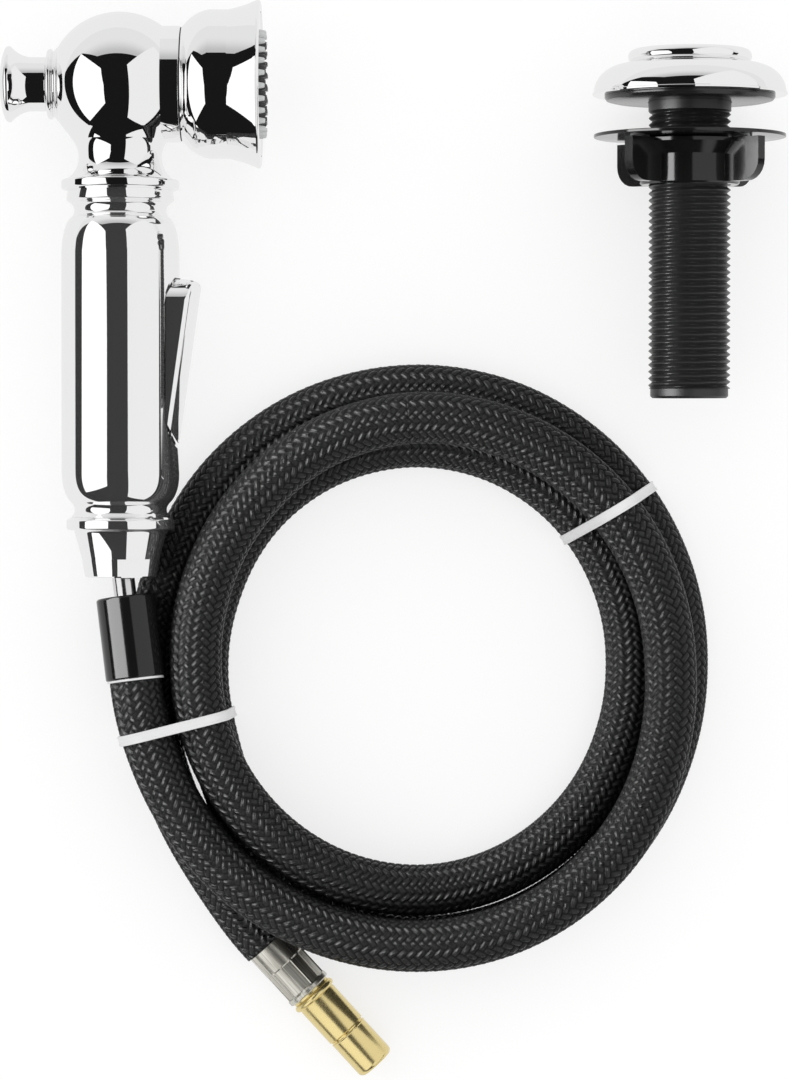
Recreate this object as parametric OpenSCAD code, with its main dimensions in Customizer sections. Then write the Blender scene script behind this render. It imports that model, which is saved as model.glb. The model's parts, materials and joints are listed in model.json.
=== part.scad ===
// Handheld bath sprayer, lying flat with its coiled hose, and the deck guide that it parks in.
// Millimetres. The set lies on z = 0, +X runs to the right and +Y towards the spray head.
// The origin is under the middle of the sprayer and the deck guide.

/* [Spray head] */
// Diameter of the ball that joins the neck, the bell and the knob
ball_d = 42.2; // [41:0.2:45]
// Diameter of the collar that the bell screws into
collar_d = 34; // [32:0.5:35]
// Reach of the collar from the centre of the ball
collar_reach = 17.9; // [17:0.1:20]
// Length of the neck, from the centre of the ball to the handle
neck_len = 31.2; // [31:0.2:36]
// Smallest diameter of the neck
neck_d = 24.4; // [24:0.2:27]
// Diameter of the bead round the foot of the neck
bead_d = 34.6; // [33:0.2:38]

/* [Bell and face] */
// Length of the bell
bell_len = 23; // [22:0.5:30]
// Diameter of the straight middle of the bell
bell_d = 43.5; // [42:0.5:46]
// Diameter of the rim of the bell
rim_d = 49.3; // [47:0.1:54]
// Thickness of the face plate
face_t = 2.5; // [2:0.1:3]
// Diameter of the face plate
face_d = 42.2; // [40:0.2:43]
// Diameter of one rubber nozzle
nozzle_d = 1.6; // [1.2:0.1:1.8]
// Height of the nozzles over the rim of the bell
nozzle_h = 2.1; // [1:0.1:3]
// Distance between the rings of nozzles
nozzle_pitch = 3.2; // [2.8:0.1:3.3]

/* [Knob] */
// Diameter of the flared end of the knob
knob_d = 22.2; // [20:0.2:25]
// Diameter of the waist of the knob
knob_waist_d = 15.8; // [14:0.2:17]
// Length of the knob
knob_len = 13.5; // [12:0.5:18]
// Length of the gland between the ball and the knob
gland_len = 4.1; // [3.6:0.1:6]
// Travel of the knob when it is pulled out
knob_travel = 5; // [3:0.5:5]
// Diameter of the spool inside the ball
spool_d = 10; // [9:0.2:11]

/* [Handle] */
// Diameter of the grip
grip_d = 34.6; // [33:0.2:36]
// Length of the grip barrel, from the neck to the tail nut
barrel_len = 95.8; // [94:0.2:110]
// Diameter of the ring at the top of the barrel
barrel_ring_d = 31.6; // [30:0.2:33]
// Smallest diameter of the grooves at both ends of the barrel
groove_d = 27; // [26:0.2:28]
// Diameter of the water way through the handle
water_d = 8; // [6:0.5:9]
// Diameter of the ring of the tail nut
tail_ring_d = 31.8; // [30:0.2:32.4]
// Length of the tail nut
tail_len = 17.6; // [17:0.2:19]
// Diameter of the tail nut at its lower end
tail_d = 21.2; // [21:0.2:23]
// Distance across the two spanner flats of the tail nut
flats = 19.9; // [19:0.1:20.4]

/* [Trigger] */
// Width of the trigger lever
lever_w = 21; // [18:0.5:22]
// Height of the lever over the axis of the handle, at its free end
lever_reach = 24.1; // [23:0.1:26]
// Length of the face of the lever
lever_len = 48; // [46:0.5:50]
// Wall of the lever
lever_wall = 1.6; // [1.2:0.1:2]
// Slope of the lever at rest, which is also its travel, with a degree to spare
lever_slope = 8; // [6:0.5:9]
// Diameter of the hinge pin
pin_d = 2.5; // [2:0.1:3]
// Diameter of the valve insert
valve_d = 9.9; // [9:0.1:11]
// Diameter of the push rod
rod_d = 3; // [2.4:0.1:3.4]

/* [Swivel and hose nut] */
// Diameter of the swivel ball
swivel_d = 11.2; // [10.8:0.1:11.4]
// Diameter of the neck of the swivel
stub_d = 6.6; // [6:0.1:7]
// Diameter of the sleeve nut on the hose
nut_d = 17.4; // [17.2:0.1:17.6]
// Length of the sleeve nut
nut_len = 24.3; // [22:0.1:25]
// Thickness of the white washer under the sleeve nut
washer_t = 0.6; // [0.4:0.1:1]

/* [Hose] */
// Outer diameter of the braided hose
hose_d = 15.2; // [15:0.1:15.4]
// Radius of the inner of the two turns that lie on the floor
coil_inner_r = 63.7; // [60:0.1:64]
// Radius of the outer of the two turns that lie on the floor
coil_outer_r = 79; // [79:0.1:79.4]
// Radius of the turn on top
coil_upper_r = 65.4; // [64:0.1:66]
// Width of the ties
tie_w = 3; // [2:0.5:5]
// Thickness of the ties
tie_t = 0.9; // [0.6:0.1:1.2]

/* [Hose end] */
// Diameter of the crimped ferrule
ferrule_d = 13.7; // [13:0.1:15]
// Length of the ferrule
ferrule_len = 18.8; // [16:0.1:22]
// Diameter of the brass collar
connector_collar_d = 14.9; // [14:0.1:15.2]
// Diameter of the brass spigot
connector_d = 12.2; // [11:0.1:13]
// Length of the brass connector
connector_len = 29.6; // [27:0.2:33]
// Distance from the free end of the spigot to its groove
groove_from_end = 12.8; // [10:0.2:14]

/* [Deck guide] */
// Diameter of the chrome cap
cap_d = 56.9; // [54:0.1:60]
// Height of the chrome cap
cap_h = 13.4; // [13:0.1:16]
// Diameter of the step on top of the cap
step_d = 36.1; // [35:0.1:38]
// Diameter of the rubber gasket
gasket_d = 50.8; // [46:0.2:52]
// Thickness of the gasket
gasket_t = 2; // [1.5:0.1:3]
// Diameter over the thread of the shank
shank_d = 24; // [23:0.1:24.4]
// Pitch of the thread
thread_pitch = 2; // [1.6:0.1:3]
// Depth of the thread
thread_depth = 1; // [0.6:0.1:1.1]
// Diameter of the bore that the hose runs through
shank_bore = 19; // [18:0.1:20]
// Length of the shank below the gasket
shank_len = 86.4; // [70:0.2:110]
// Room for the deck, between the gasket and the clamp washer
deck_gap = 9.3; // [6.5:0.1:30]
// Diameter of the clamp washer
clamp_d = 56.1; // [50:0.1:56.7]
// Thickness of the clamp washer
clamp_t = 1; // [0.8:0.1:2]
// Height of the wing nut
wing_h = 13; // [11:0.5:16]
// Diameter over the wings
wing_d = 54; // [46:0.5:55]
// Thickness of one wing
wing_t = 3; // [2:0.1:4]

/* [Layout] */
// Centre of the swivel ball, where the sprayer meets its hose
swivel_at = [-80, -62, 22.2];
// Middle of the hose coil
coil_at = [7.5, -94];
// Axis of the deck guide, and the top of its cap
guide_at = [86.8, 86.6];

/* [Hidden] */
round_fn = 96;
ring_fn = 32;
slip = 0.05;   // radial clearance of a running fit
gap = 0.3;     // clearance between pieces that move past each other

// Sprayer, measured from the centre of the ball: down the handle, out of the bell, out of the knob
ball_r = ball_d / 2;
collar_r = collar_d / 2;
handle_joint = neck_len;
tail_joint = handle_joint + barrel_len;
handle_end = tail_joint + tail_len;
swivel_r = swivel_d / 2;
swivel_pos = handle_end - swivel_r;
lie_tilt = asin((rim_d / 2 - swivel_at.z) / swivel_pos);
spigot_r = 10;
spigot_len = 7.5;
seal_r = 0.9;
cove_r = 7.8;
cove_pos = 21.4;
bead_h = 2.2;
chamber_r = 9;
bell_spigot_r = 12;
bell_spigot_len = 7.8;
seam = 0.4;
bell_start = collar_reach + seam;
bell_end = bell_start + bell_len;
mat_t = 1.2;
nozzle_rings = [for (k = [0:3]) 6.4 + k * nozzle_pitch];
stream_r = 3.4;
gland_seat = 17.2;
gland_spigot_r = 6.5;
gland_in = 12.4;
gland_end = gland_seat + gland_len;
spool_r = spool_d / 2;
spool_rod_r = 2.5;
land_w = 3;
spool_lands = [-8, 3];

// Trigger, in the plane of the handle's axis (x out of the handle, z down it)
pocket_floor = 8;
pocket_top = handle_joint + 24.7;
pocket_len = 51.2;
lever_top = pocket_top + 0.9;
hinge_x = 10.5;
hinge_z = lever_top + 44.7;
ear_r = 2.3;
crown_r = 22;
edge_r = 2.3;
nose_r = 2.5;
rod_z = lever_top + 15.2;
boss_end = 15;
boss_r = 2.6;
valve_r = valve_d / 2;
valve_back = -8.9;
valve_wall = 1.5;
valve_bore_r = 3.2;
valve_lip = 5;
rod_r = rod_d / 2;
poppet_r = valve_bore_r - slip;
poppet_at = -3;
poppet_t = 2;
spring_wire_r = 0.35;
spring_turns = 5;

// Swivel socket and the hose's end inside the sleeve nut
socket_r = 7.95;
socket_top = 5;
socket_end = 4.4;
socket_mouth_r = 5.3;
tail_mouth_r = 6.3;
barrel_spigot_r = 9.5;
barrel_spigot_len = 6.4;
hose_r = hose_d / 2;
hose_start = [-75.5, -98, 24];
hose_lean = hose_start - swivel_at;
hose_reach = norm(hose_lean);
nut_end = hose_reach - washer_t - slip;
nut_top = nut_end - nut_len;
nut_wall = 1.5;
nut_bore_r = nut_d / 2 - 0.8;
flange_t = 3;
barb_r = 3.9;

// The hose's route. Each row is an angle round the coil, a radius and a height.
lead_route = [
    [190, 82.6, 23.8], [198, 81.9, 23.4], [207, 81.8, 23], [217, 81.8, 22.9], [228, 82, 22.9],
    [240, 82, 22.9], [252, 82, 22.9], [264, 82, 22.9], [276, 81.9, 22.9], [288, 81.5, 22.9],
    [300, 80.7, 22.9], [312, 79.6, 22.8], [324, 78.2, 22.8], [336, 76.6, 22.7], [348, 75.1, 22.4],
    [360, 74, 22.2]
];
tail_route = [
    [170, 79, 7.6], [180, 79.2, 7.6], [190, 80.4, 7.6], [200, 81.8, 7.6], [209, 83, 7.6],
    [217, 84.4, 7.6], [225, 86.4, 7.6], [232, 89.2, 7.6]
];
hose_end = [-37.5, -177, 7.6];
hose_end_turn = -47.5;
straight = 4;
tube_sides = 12;
upper_z = hose_r + hose_d;
crimp_pos = 7.6;       // where the round sleeve ends and its crimped flats begin
crimp_sides = 12;
crimp_turn = 9;
lip_t = 1.6;
collar_at = 1.2;
collar_t = 2.2;
connector_bore_r = 3.5;
connector_groove = connector_len - groove_from_end;
groove_w = 0.8;
groove_depth = 0.4;
end_chamfer = 1;

// Deck guide, measured down from the top of its cap
cap_r = cap_d / 2;
step_r = step_d / 2;
step_h = 3.6;
seat_top_r = 13.9;
seat_slope = (seat_top_r - 10.8) / 13.3;
head_h = 7.4;
head_r = 12.95;
seat_end = cap_h + 0.4;
gasket_end = cap_h + gasket_t;
smooth_len = 2.6;
shank_end = gasket_end + shank_len;
thread_start = gasket_end + smooth_len;
plain_len = 2.7;
plain_r = shank_d / 2 - 0.6;
thread_turns = floor((shank_end - plain_len - thread_start) / thread_pitch);
thread_end = thread_start + thread_turns * thread_pitch;
thread_fn = 64;
clamp_top = gasket_end + deck_gap;
clamp_r = clamp_d / 2;
clamp_dish = 0.5;
nut_seat = clamp_top + clamp_t + clamp_dish + gap;
wing_r = wing_d / 2;
wing_corner_r = 6;
hub_r = 14.6;
hub_top_r = 17.5;
guide_tilt = atan((cap_r - clamp_r) / (clamp_top + clamp_t - cap_h));
guide_z = cap_r * cos(guide_tilt) + cap_h * sin(guide_tilt);

// Points along an arc and along a curve with one control point
function arc(c, r, a, b, n = 8) = [for (i = [0:n]) c + r * [cos(a + (b - a) * i / n), sin(a + (b - a) * i / n)]];
function curve(a, b, c, n = 8) =
    [for (i = [0:n]) let (t = i / n) (1 - t) * (1 - t) * a + 2 * t * (1 - t) * b + t * t * c];
function unit(v) = v / norm(v);
function on_coil(p) = [coil_at.x + p[1] * cos(p[0]), coil_at.y + p[1] * sin(p[0]), p[2]];

// Places: each turns a shape drawn along +Z into its place on the object
module sprayer() translate(swivel_at) rotate([lie_tilt, 0, 0]) translate([0, swivel_pos, 0]) children();
module along_handle(z = 0) sprayer() rotate([90, 0, 0]) translate([0, 0, z]) children();
module along_spray(z = 0) sprayer() rotate([0, 90, 0]) translate([0, 0, z]) children();
module along_knob(z = 0) sprayer() rotate([0, -90, 0]) translate([0, 0, z]) children();
module out_of_handle(z, x = 0) along_handle(z) rotate([0, 90, 0]) translate([0, 0, x]) children();
module along_hose(z = 0)
    translate(swivel_at)
        rotate([0, acos(hose_lean.z / hose_reach), atan2(hose_lean.y, hose_lean.x)])
            translate([0, 0, z]) children();
module along_fitting(z = 0) translate(hose_end) rotate([0, 90, hose_end_turn]) translate([0, 0, z]) children();
module along_guide(z = 0)
    translate([guide_at.x, guide_at.y, guide_z]) rotate([guide_tilt + 90, 0, 0]) translate([0, 0, z]) children();

// Shapes that repeat
module turned(points, sides = round_fn) rotate_extrude($fn = sides) polygon(points);
module rod(r, h) cylinder(r = r, h = h, $fn = round_fn);
module pipe(outer, inner, h) turned([[inner, 0], [outer, 0], [outer, h], [inner, h]]);
module ring(r, wire) rotate_extrude($fn = round_fn) translate([r, 0]) circle(r = wire, $fn = ring_fn);

// A tube along points, with a ring of corners square to the route at each point
module tube(points, r, sides) {
    last = len(points) - 1;
    corners = [
        for (i = [0:last])
            let (
                ahead = unit(points[min(i + 1, last)] - points[max(i - 1, 0)]),
                side = unit(cross(ahead, [0, 0, 1])),
                up = cross(side, ahead)
            )
            for (k = [0:sides - 1])
                points[i] + r * (cos(k * 360 / sides) * side + sin(k * 360 / sides) * up)
    ];
    walls = [
        for (i = [0:last - 1])
            for (k = [0:sides - 1])
                let (a = i * sides + k, b = i * sides + (k + 1) % sides)
                for (face = [[a, b, a + sides], [b, b + sides, a + sides]]) face
    ];
    ends = [
        [for (k = [sides - 1:-1:0]) k],
        [for (k = [0:sides - 1]) last * sides + k]
    ];
    polyhedron(points = corners, faces = concat(walls, ends));
}

// ---- Spray head ----

// Ball, neck and collar, one brass casting with its water ways bored through
module ball_and_neck() rotate_extrude($fn = round_fn) {
    intersection() {
        circle(r = ball_r, $fn = round_fn);
        translate([0, -2 * ball_r]) square([2 * ball_r, 4 * ball_r]);
    }
    polygon(concat(
        [[0, 8], [ball_r - 6, 8], [ball_r - 5.9, ball_r - 7.1]],
        arc([neck_d / 2 + cove_r, cove_pos], cove_r, 222, 126),
        arc([bead_d / 2 - 0.7, neck_len - bead_h - 0.2], 0.7, -90, 0, 3),
        arc([bead_d / 2 - 0.7, neck_len - 1], 0.7, 0, 90, 3),
        [[barrel_ring_d / 2, neck_len - 0.3], [barrel_ring_d / 2, neck_len], [0, neck_len]]
    ));
}

module head_body() color("Gainsboro") difference() {
    union() {
        along_handle() rotate(45) ball_and_neck();
        along_spray() rod(collar_r, collar_reach);
    }
    along_handle() rod(water_d / 2, neck_len + 1);
    along_handle(neck_len - spigot_len - gap) rod(spigot_r + slip, spigot_len + 1);
    along_spray() rod(chamber_r, ball_r + 1);
    along_spray(collar_reach - bell_spigot_len) rod(bell_spigot_r + slip, ball_r);
    along_knob(-chamber_r - 1) rod(spool_r + slip, gland_in + chamber_r + 1);
    along_knob(gland_in) rod(gland_spigot_r + slip, ball_r);
    along_knob(gland_seat) rod(ball_r, ball_r);
}

// Rubber ring that seals the handle's spigot in the neck
module neck_seal() color("DimGray") along_handle(neck_len - spigot_len / 2) ring(spigot_r - seal_r, seal_r);

// Dark ring that shows as the seam between collar and bell
module bell_gasket() color("DimGray") along_spray(collar_reach) pipe(collar_r - 0.4, bell_spigot_r + slip, seam);

// Chrome bell: a turned shell that screws into the collar and flares to its rim
module spray_bell() color("Gainsboro") along_spray() turned(concat(
    [[chamber_r, collar_reach - bell_spigot_len + gap], [bell_spigot_r, collar_reach - bell_spigot_len + gap]],
    [[bell_spigot_r, bell_start], [collar_r, bell_start]],
    curve([collar_r + 0.3, bell_start + 0.5], [bell_d / 2 - 0.7, bell_start + 3.4], [bell_d / 2, bell_start + 8]),
    curve([bell_d / 2, bell_start + 13.4], [bell_d / 2 + 0.8, bell_start + 17.6], [rim_d / 2 - 0.3, bell_end - 1.5], 6),
    [[rim_d / 2, bell_end - 0.9], [rim_d / 2 - 0.2, bell_end - 0.4], [rim_d / 2 - 0.8, bell_end]],
    [[face_d / 2 + slip, bell_end], [face_d / 2 + slip, bell_end - face_t - 0.3]],
    [[bell_d / 2 - 2.3, bell_end - face_t - 0.3], [bell_d / 2 - 2.3, bell_start + 6.5]],
    [[bell_spigot_r, bell_start + 2.5], [chamber_r, bell_start + 2.5]]
));

// Places of the nozzles: rings of equally spaced holes round the middle outlet
module at_nozzles()
    for (r = nozzle_rings)
        let (count = round(2 * PI * r / (nozzle_pitch * 1.35)))
            for (k = [0:count - 1]) rotate(k * 360 / count) translate([r, 0, 0]) children();

// Chrome face plate with a hole for each nozzle and one for the middle outlet
module face_plate() color("Silver") along_spray(bell_end - face_t - 0.3) difference() {
    rod(face_d / 2, face_t);
    translate([0, 0, -1]) rod(stream_r + slip, face_t + 2);
    at_nozzles() translate([0, 0, -1]) cylinder(d = nozzle_d + 0.3, h = face_t + 2, $fn = ring_fn);
}

// Soft rubber mat behind the plate, with the nozzles standing through it
module nozzle_mat() color("DarkGray") along_spray(bell_end - face_t - 0.3 - mat_t) difference() {
    union() {
        rod(bell_d / 2 - 2.4, mat_t);
        at_nozzles() cylinder(d = nozzle_d, h = mat_t + face_t + 0.3 + nozzle_h, $fn = ring_fn);
    }
    translate([0, 0, -1]) rod(stream_r + slip, mat_t + 2);
}

// Middle outlet for the plain stream
module stream_insert() color("LightSteelBlue")
    along_spray(bell_end - face_t - 1.5 - mat_t) pipe(stream_r, stream_r - 1.2, mat_t + face_t + 1.8);

// ---- Knob and diverter ----

// Beaded gland that closes the back of the ball and guides the spool's rod
module knob_gland() color("Gainsboro") along_knob() turned(concat(
    [[spool_rod_r + slip, gland_in + 0.2], [gland_spigot_r, gland_in + 0.2], [gland_spigot_r, gland_seat]],
    arc([knob_d / 2 - 1.1, gland_seat + 0.8], 0.8, -90, 90, 6),
    arc([knob_d / 2 - 1.6, gland_end - 0.9], 0.8, -90, 90, 6),
    [[spool_rod_r + slip, gland_end]]
));

// Flared knob that is pushed and pulled
module diverter_knob() color("Gainsboro") along_knob(gland_end + 0.2) turned(concat(
    [[spool_rod_r, 0], [knob_waist_d / 2, 0], [knob_waist_d / 2, knob_len - 8]],
    curve([knob_waist_d / 2, knob_len - 7.5], [knob_waist_d / 2 + 0.5, knob_len - 4.4], [knob_d / 2 - 0.1, knob_len - 2.8], 6),
    [[knob_d / 2, knob_len - 2.4], [knob_d / 2 - 0.4, knob_len - 1.5]],
    curve([knob_d / 2 - 1.4, knob_len - 1], [knob_d / 4 + 2, knob_len], [0, knob_len], 5),
    [[0, knob_len - 4], [spool_rod_r, knob_len - 4]]
));

// Spool on the knob's rod, with two lands that steer the water to the rose or to the middle outlet
module diverter_spool() color("Peru") along_knob() turned(concat(
    [[0, spool_lands[0]]],
    [for (at = spool_lands) for (p = [
        [spool_r, at], [spool_r, at + 0.5], [spool_r - 1.5, at + 0.5], [spool_r - 1.5, at + land_w - 0.5],
        [spool_r, at + land_w - 0.5], [spool_r, at + land_w], [spool_rod_r, at + land_w],
        [spool_rod_r, at == spool_lands[0] ? spool_lands[1] : gland_end + knob_len - 3.8]
    ]) p],
    [[0, gland_end + knob_len - 3.8]]
));

// Two rubber rings in the lands
module spool_seals() color("DimGray")
    for (at = spool_lands) along_knob(at + land_w / 2) ring(spool_r - 0.75, 0.72);

// ---- Handle ----

// Grip barrel: spigot, ring, groove, shoulder, straight grip, shoulder, waist and lower spigot
module barrel_outside() turned(concat(
    [[0, handle_joint - spigot_len], [spigot_r, handle_joint - spigot_len]],
    [[spigot_r, handle_joint - spigot_len / 2 - 1], [spigot_r - 1.9, handle_joint - spigot_len / 2 - 1]],
    [[spigot_r - 1.9, handle_joint - spigot_len / 2 + 1], [spigot_r, handle_joint - spigot_len / 2 + 1]],
    [[spigot_r, handle_joint], [barrel_ring_d / 2 - 0.4, handle_joint]],
    arc([barrel_ring_d / 2 - 0.6, handle_joint + 2.6], 0.6, 0, 60, 3),
    arc([groove_d / 2 + 2.6, handle_joint + 5.9], 2.6, 245, 122),
    curve([groove_d / 2 + 1.4, handle_joint + 8.4], [grip_d / 2 - 0.4, handle_joint + 10.6], [grip_d / 2, handle_joint + 18.3]),
    curve([grip_d / 2, tail_joint - 14], [grip_d / 2 + 0.1, tail_joint - 7], [groove_d / 2 + 0.8, tail_joint - 4.1]),
    arc([groove_d / 2 + 2.4, tail_joint - 2.2], 2.4, 215, 140, 5),
    [[groove_d / 2 + 0.9, tail_joint], [barrel_spigot_r, tail_joint]],
    [[barrel_spigot_r, tail_joint + barrel_spigot_len], [0, tail_joint + barrel_spigot_len]]
));

module handle_barrel() color("Gainsboro") difference() {
    along_handle() barrel_outside();
    along_handle(handle_joint - spigot_len - 1) rod(water_d / 2, barrel_len + spigot_len + barrel_spigot_len + 2);
    along_handle(tail_joint + barrel_spigot_len - 0.85) rod(4.65, 2);
    along_handle(pocket_top) translate([pocket_floor, -lever_w / 2 - gap, 0]) cube([grip_d, lever_w + 2 * gap, pocket_len]);
    out_of_handle(rod_z, valve_back) rod(valve_r + slip, grip_d / 2);
    along_handle(hinge_z) translate([hinge_x, 0, 0]) rotate([90, 0, 0]) translate([0, 0, -lever_w / 2 - 2.4])
        cylinder(d = pin_d + 0.04, h = lever_w + 4.8, $fn = ring_fn);
}

// Tail nut: ring, cone and two spanner flats, bored for the swivel socket
module tail_nut() color("Gainsboro") difference() {
    along_handle() turned(concat(
        [[barrel_spigot_r + slip, tail_joint + 0.02], [groove_d / 2 + 0.9, tail_joint + 0.02]],
        arc([tail_ring_d / 2 - 0.7, tail_joint + 1.2], 0.7, -70, 0, 3),
        arc([tail_ring_d / 2 - 0.7, tail_joint + 3], 0.7, 0, 90, 3),
        [[groove_d / 2 + 0.3, tail_joint + 3.9], [tail_d / 2, handle_end - 0.4], [tail_d / 2 - 0.4, handle_end]],
        [[tail_mouth_r, handle_end], [tail_mouth_r, swivel_pos + socket_end + slip]],
        [[socket_r + slip, swivel_pos + socket_end + slip], [socket_r + slip, swivel_pos - socket_top - 0.4]],
        [[barrel_spigot_r + slip, swivel_pos - socket_top - 0.4]]
    ));
    for (turn = [67, 247])
        along_handle(handle_end - 5.4) rotate(turn) translate([flats / 2, -tail_ring_d / 2, 0]) cube([tail_d, tail_ring_d, 6]);
}

// ---- Trigger and valve ----

// Side view of the lever: free end with its rounded nose, face, tip, and inner edges that clear the barrel
function lever_side() = concat(
    [[lever_reach - 7.9, lever_top]],
    arc([lever_reach - 1.1 * nose_r, lever_top + 1.5 + 0.8 * nose_r], nose_r, -79, lever_slope, 5),
    [[lever_reach - (lever_len - 8) * tan(lever_slope), lever_top + lever_len - 6.5]],
    [[lever_reach - 6.2, lever_top + lever_len + 1.6], [lever_reach - 7.4, lever_top + lever_len]],
    [[lever_reach - 10.3, lever_top + lever_len - 6], [lever_reach - 10.3, lever_top + 4.7]]
);

module side_plate(points, width) rotate([90, 0, 0]) linear_extrude(height = width, center = true) polygon(points);

// Space under the sloping face of the lever: a round crown that rolls over the long edges into the sides.
// The edge's centre is one edge radius inside both the crown and the side.
module crown(r, edge_r, width, inset) {
    centre = [sqrt(pow(r - edge_r, 2) - pow(width / 2 - edge_r, 2)), width / 2 - edge_r];
    roll = atan(centre.y / centre.x);
    half = concat(arc([0, 0], r, 0, roll, 4), arc(centre, edge_r, roll + 15, 90, 5), [[-r, width / 2]]);
    translate([lever_reach - inset, 0, lever_top]) rotate([0, -lever_slope, 0]) translate([-r, 0, -lever_len])
        linear_extrude(height = 3 * lever_len)
            polygon(concat(half, [for (k = [len(half) - 1:-1:1]) [half[k].x, -half[k].y]]));
}

// Pressed trigger lever with a crowned face, two side plates, two hinge ears and a boss for the push rod
module trigger_lever() color("Gainsboro") along_handle() difference() {
    union() {
        intersection() {
            side_plate(lever_side(), lever_w + 2);
            crown(crown_r, edge_r, lever_w, 0);
        }
        side_plate([[13.9, hinge_z - 9], [hinge_x - 1.9, hinge_z - 3], [hinge_x, hinge_z], [14.5, hinge_z + 1]], lever_w);
        translate([hinge_x, 0, hinge_z]) rotate([90, 0, 0]) translate([0, 0, -lever_w / 2]) rod(ear_r, lever_w);
    }
    difference() {
        intersection() {
            side_plate([
                [pocket_floor - 5, lever_top + lever_wall], [lever_reach, lever_top + 1.5 + lever_wall],
                [lever_reach, hinge_z + 20], [pocket_floor - 5, hinge_z + 20]
            ], lever_w);
            crown(crown_r - lever_wall, edge_r - lever_wall, lever_w - 2 * lever_wall, lever_wall);
        }
        translate([boss_end, 0, rod_z]) rotate([0, 90, 0]) rod(boss_r, lever_reach - boss_end);
    }
    translate([hinge_x, 0, hinge_z]) rotate([90, 0, 0]) translate([0, 0, -lever_w])
        cylinder(d = pin_d + 2 * slip, h = 2 * lever_w, $fn = ring_fn);
}

// Hinge pin across the pocket
module lever_pin() color("DarkGray") along_handle(hinge_z) translate([hinge_x, 0, 0]) rotate([90, 0, 0])
    translate([0, 0, -lever_w / 2 - 2.2]) cylinder(d = pin_d, h = lever_w + 4.4, $fn = ring_fn);

// Brass valve insert across the water way, with a port along the handle
module valve_insert() color("Goldenrod") out_of_handle(rod_z) difference() {
    translate([0, 0, valve_back]) rod(valve_r, pocket_floor - valve_back);
    translate([0, 0, valve_back + valve_wall]) rod(valve_bore_r, valve_lip - valve_back - valve_wall);
    rod(rod_r + slip, 2 * pocket_floor);
    rotate([0, 90, 0]) translate([0, 0, -2 * valve_r]) cylinder(r = 2.4, h = 4 * valve_r, $fn = ring_fn);
}

// Push rod with the poppet on its inner end and a round tip under the lever's boss
module valve_plunger() color("Silver") out_of_handle(rod_z) union() {
    translate([0, 0, poppet_at]) rod(poppet_r, poppet_t);
    translate([0, 0, poppet_at]) rod(rod_r, boss_end - gap - rod_r - poppet_at);
    translate([0, 0, boss_end - gap - rod_r]) sphere(r = rod_r, $fn = round_fn);
}

// Return spring behind the poppet
module valve_spring() color("LightGray") {
    from = valve_back + valve_wall + spring_wire_r + 0.05;
    to = poppet_at - spring_wire_r - 0.05;
    steps = 10 * spring_turns;
    out_of_handle(rod_z) tube(
        [for (i = [0:steps]) [2 * cos(i * 36), 2 * sin(i * 36), from + (to - from) * i / steps]], spring_wire_r, 5);
}

// ---- Swivel and the hose's upper end ----

// Socket that turns in the tail nut and holds the swivel ball
module swivel_socket() color("WhiteSmoke") along_handle(swivel_pos) difference() {
    translate([0, 0, -socket_top]) rod(socket_r, socket_top + socket_end);
    sphere(r = swivel_r + slip, $fn = round_fn);
    translate([0, 0, -socket_top - 1]) rod(4.6, socket_top + 1);
    turned([[0, 3.3], [4.6, 3.3], [socket_mouth_r, socket_end + 0.1], [0, socket_end + 0.1]]);
}

// Rubber ring on the ball
module swivel_seal() color("DimGray")
    along_handle(swivel_pos - sqrt(pow(swivel_r + seal_r + 0.02, 2) - 3.6 * 3.6)) ring(3.6, seal_r);

// Ball, neck, flange and hose barb, turned in one piece and bored through
module swivel_stub() color("Gainsboro") along_hose() difference() {
    union() {
        sphere(r = swivel_r, $fn = round_fn);
        rod(stub_d / 2, nut_top + nut_wall + flange_t);
        translate([0, 0, nut_top + nut_wall + gap]) rod(nut_bore_r - slip, flange_t);
        rod(barb_r - 0.6, nut_top + nut_wall + flange_t + 1);
        translate([0, 0, nut_top + nut_wall + gap + flange_t]) rod(barb_r, hose_reach - nut_top - flange_t - 4);
    }
    translate([0, 0, -swivel_r - 1]) rod(2, hose_reach + swivel_r + 2);
}

// Crimped metal sleeve that holds the hose on the barb, hidden in the sleeve nut
module hose_crimp() color("Silver") along_hose(nut_top + nut_wall + gap + flange_t)
    pipe(nut_bore_r - slip, barb_r, hose_reach - washer_t - nut_top - nut_wall - gap - flange_t);

// Black sleeve nut that turns round the hose's end
module sleeve_nut() color([0.08, 0.08, 0.08]) along_hose(nut_top) turned([
    [stub_d / 2 + 0.2, 0], [nut_d / 2 - 0.5, 0], [nut_d / 2, 0.5], [nut_d / 2, nut_len - 0.3],
    [nut_d / 2 - 0.3, nut_len], [nut_bore_r, nut_len], [nut_bore_r, nut_wall], [stub_d / 2 + 0.2, nut_wall]
]);

// White plastic washer between the nut and the braid
module nut_washer() color("White") along_hose(hose_reach - washer_t) pipe(nut_bore_r + 0.4, barb_r + 0.2, washer_t);

// ---- Hose ----

// First stretch: from the nut over the coil to where it joins the turns
module hose_lead() color([0.1, 0.1, 0.1]) tube(concat(
    [hose_start, hose_start + straight * unit(hose_lean)], [for (p = lead_route) on_coil(p)]
), hose_r, tube_sides);

// The coiled turns: two on the floor and one on top
module hose_coil() color([0.12, 0.12, 0.12]) translate([coil_at.x, coil_at.y, 0]) rotate_extrude($fn = round_fn) {
    turns = [[coil_inner_r, hose_r], [coil_outer_r, hose_r], [coil_upper_r, upper_z]];
    for (p = turns) translate(p) circle(r = hose_r, $fn = 48);
    polygon(turns);
}

// Last stretch: out from under the coil to the end fitting
module hose_tail() color([0.1, 0.1, 0.1]) tube(concat(
    [for (p = tail_route) on_coil(p)],
    [hose_end - straight * [cos(hose_end_turn), sin(hose_end_turn), 0], hose_end]
), hose_r, tube_sides);

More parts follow.
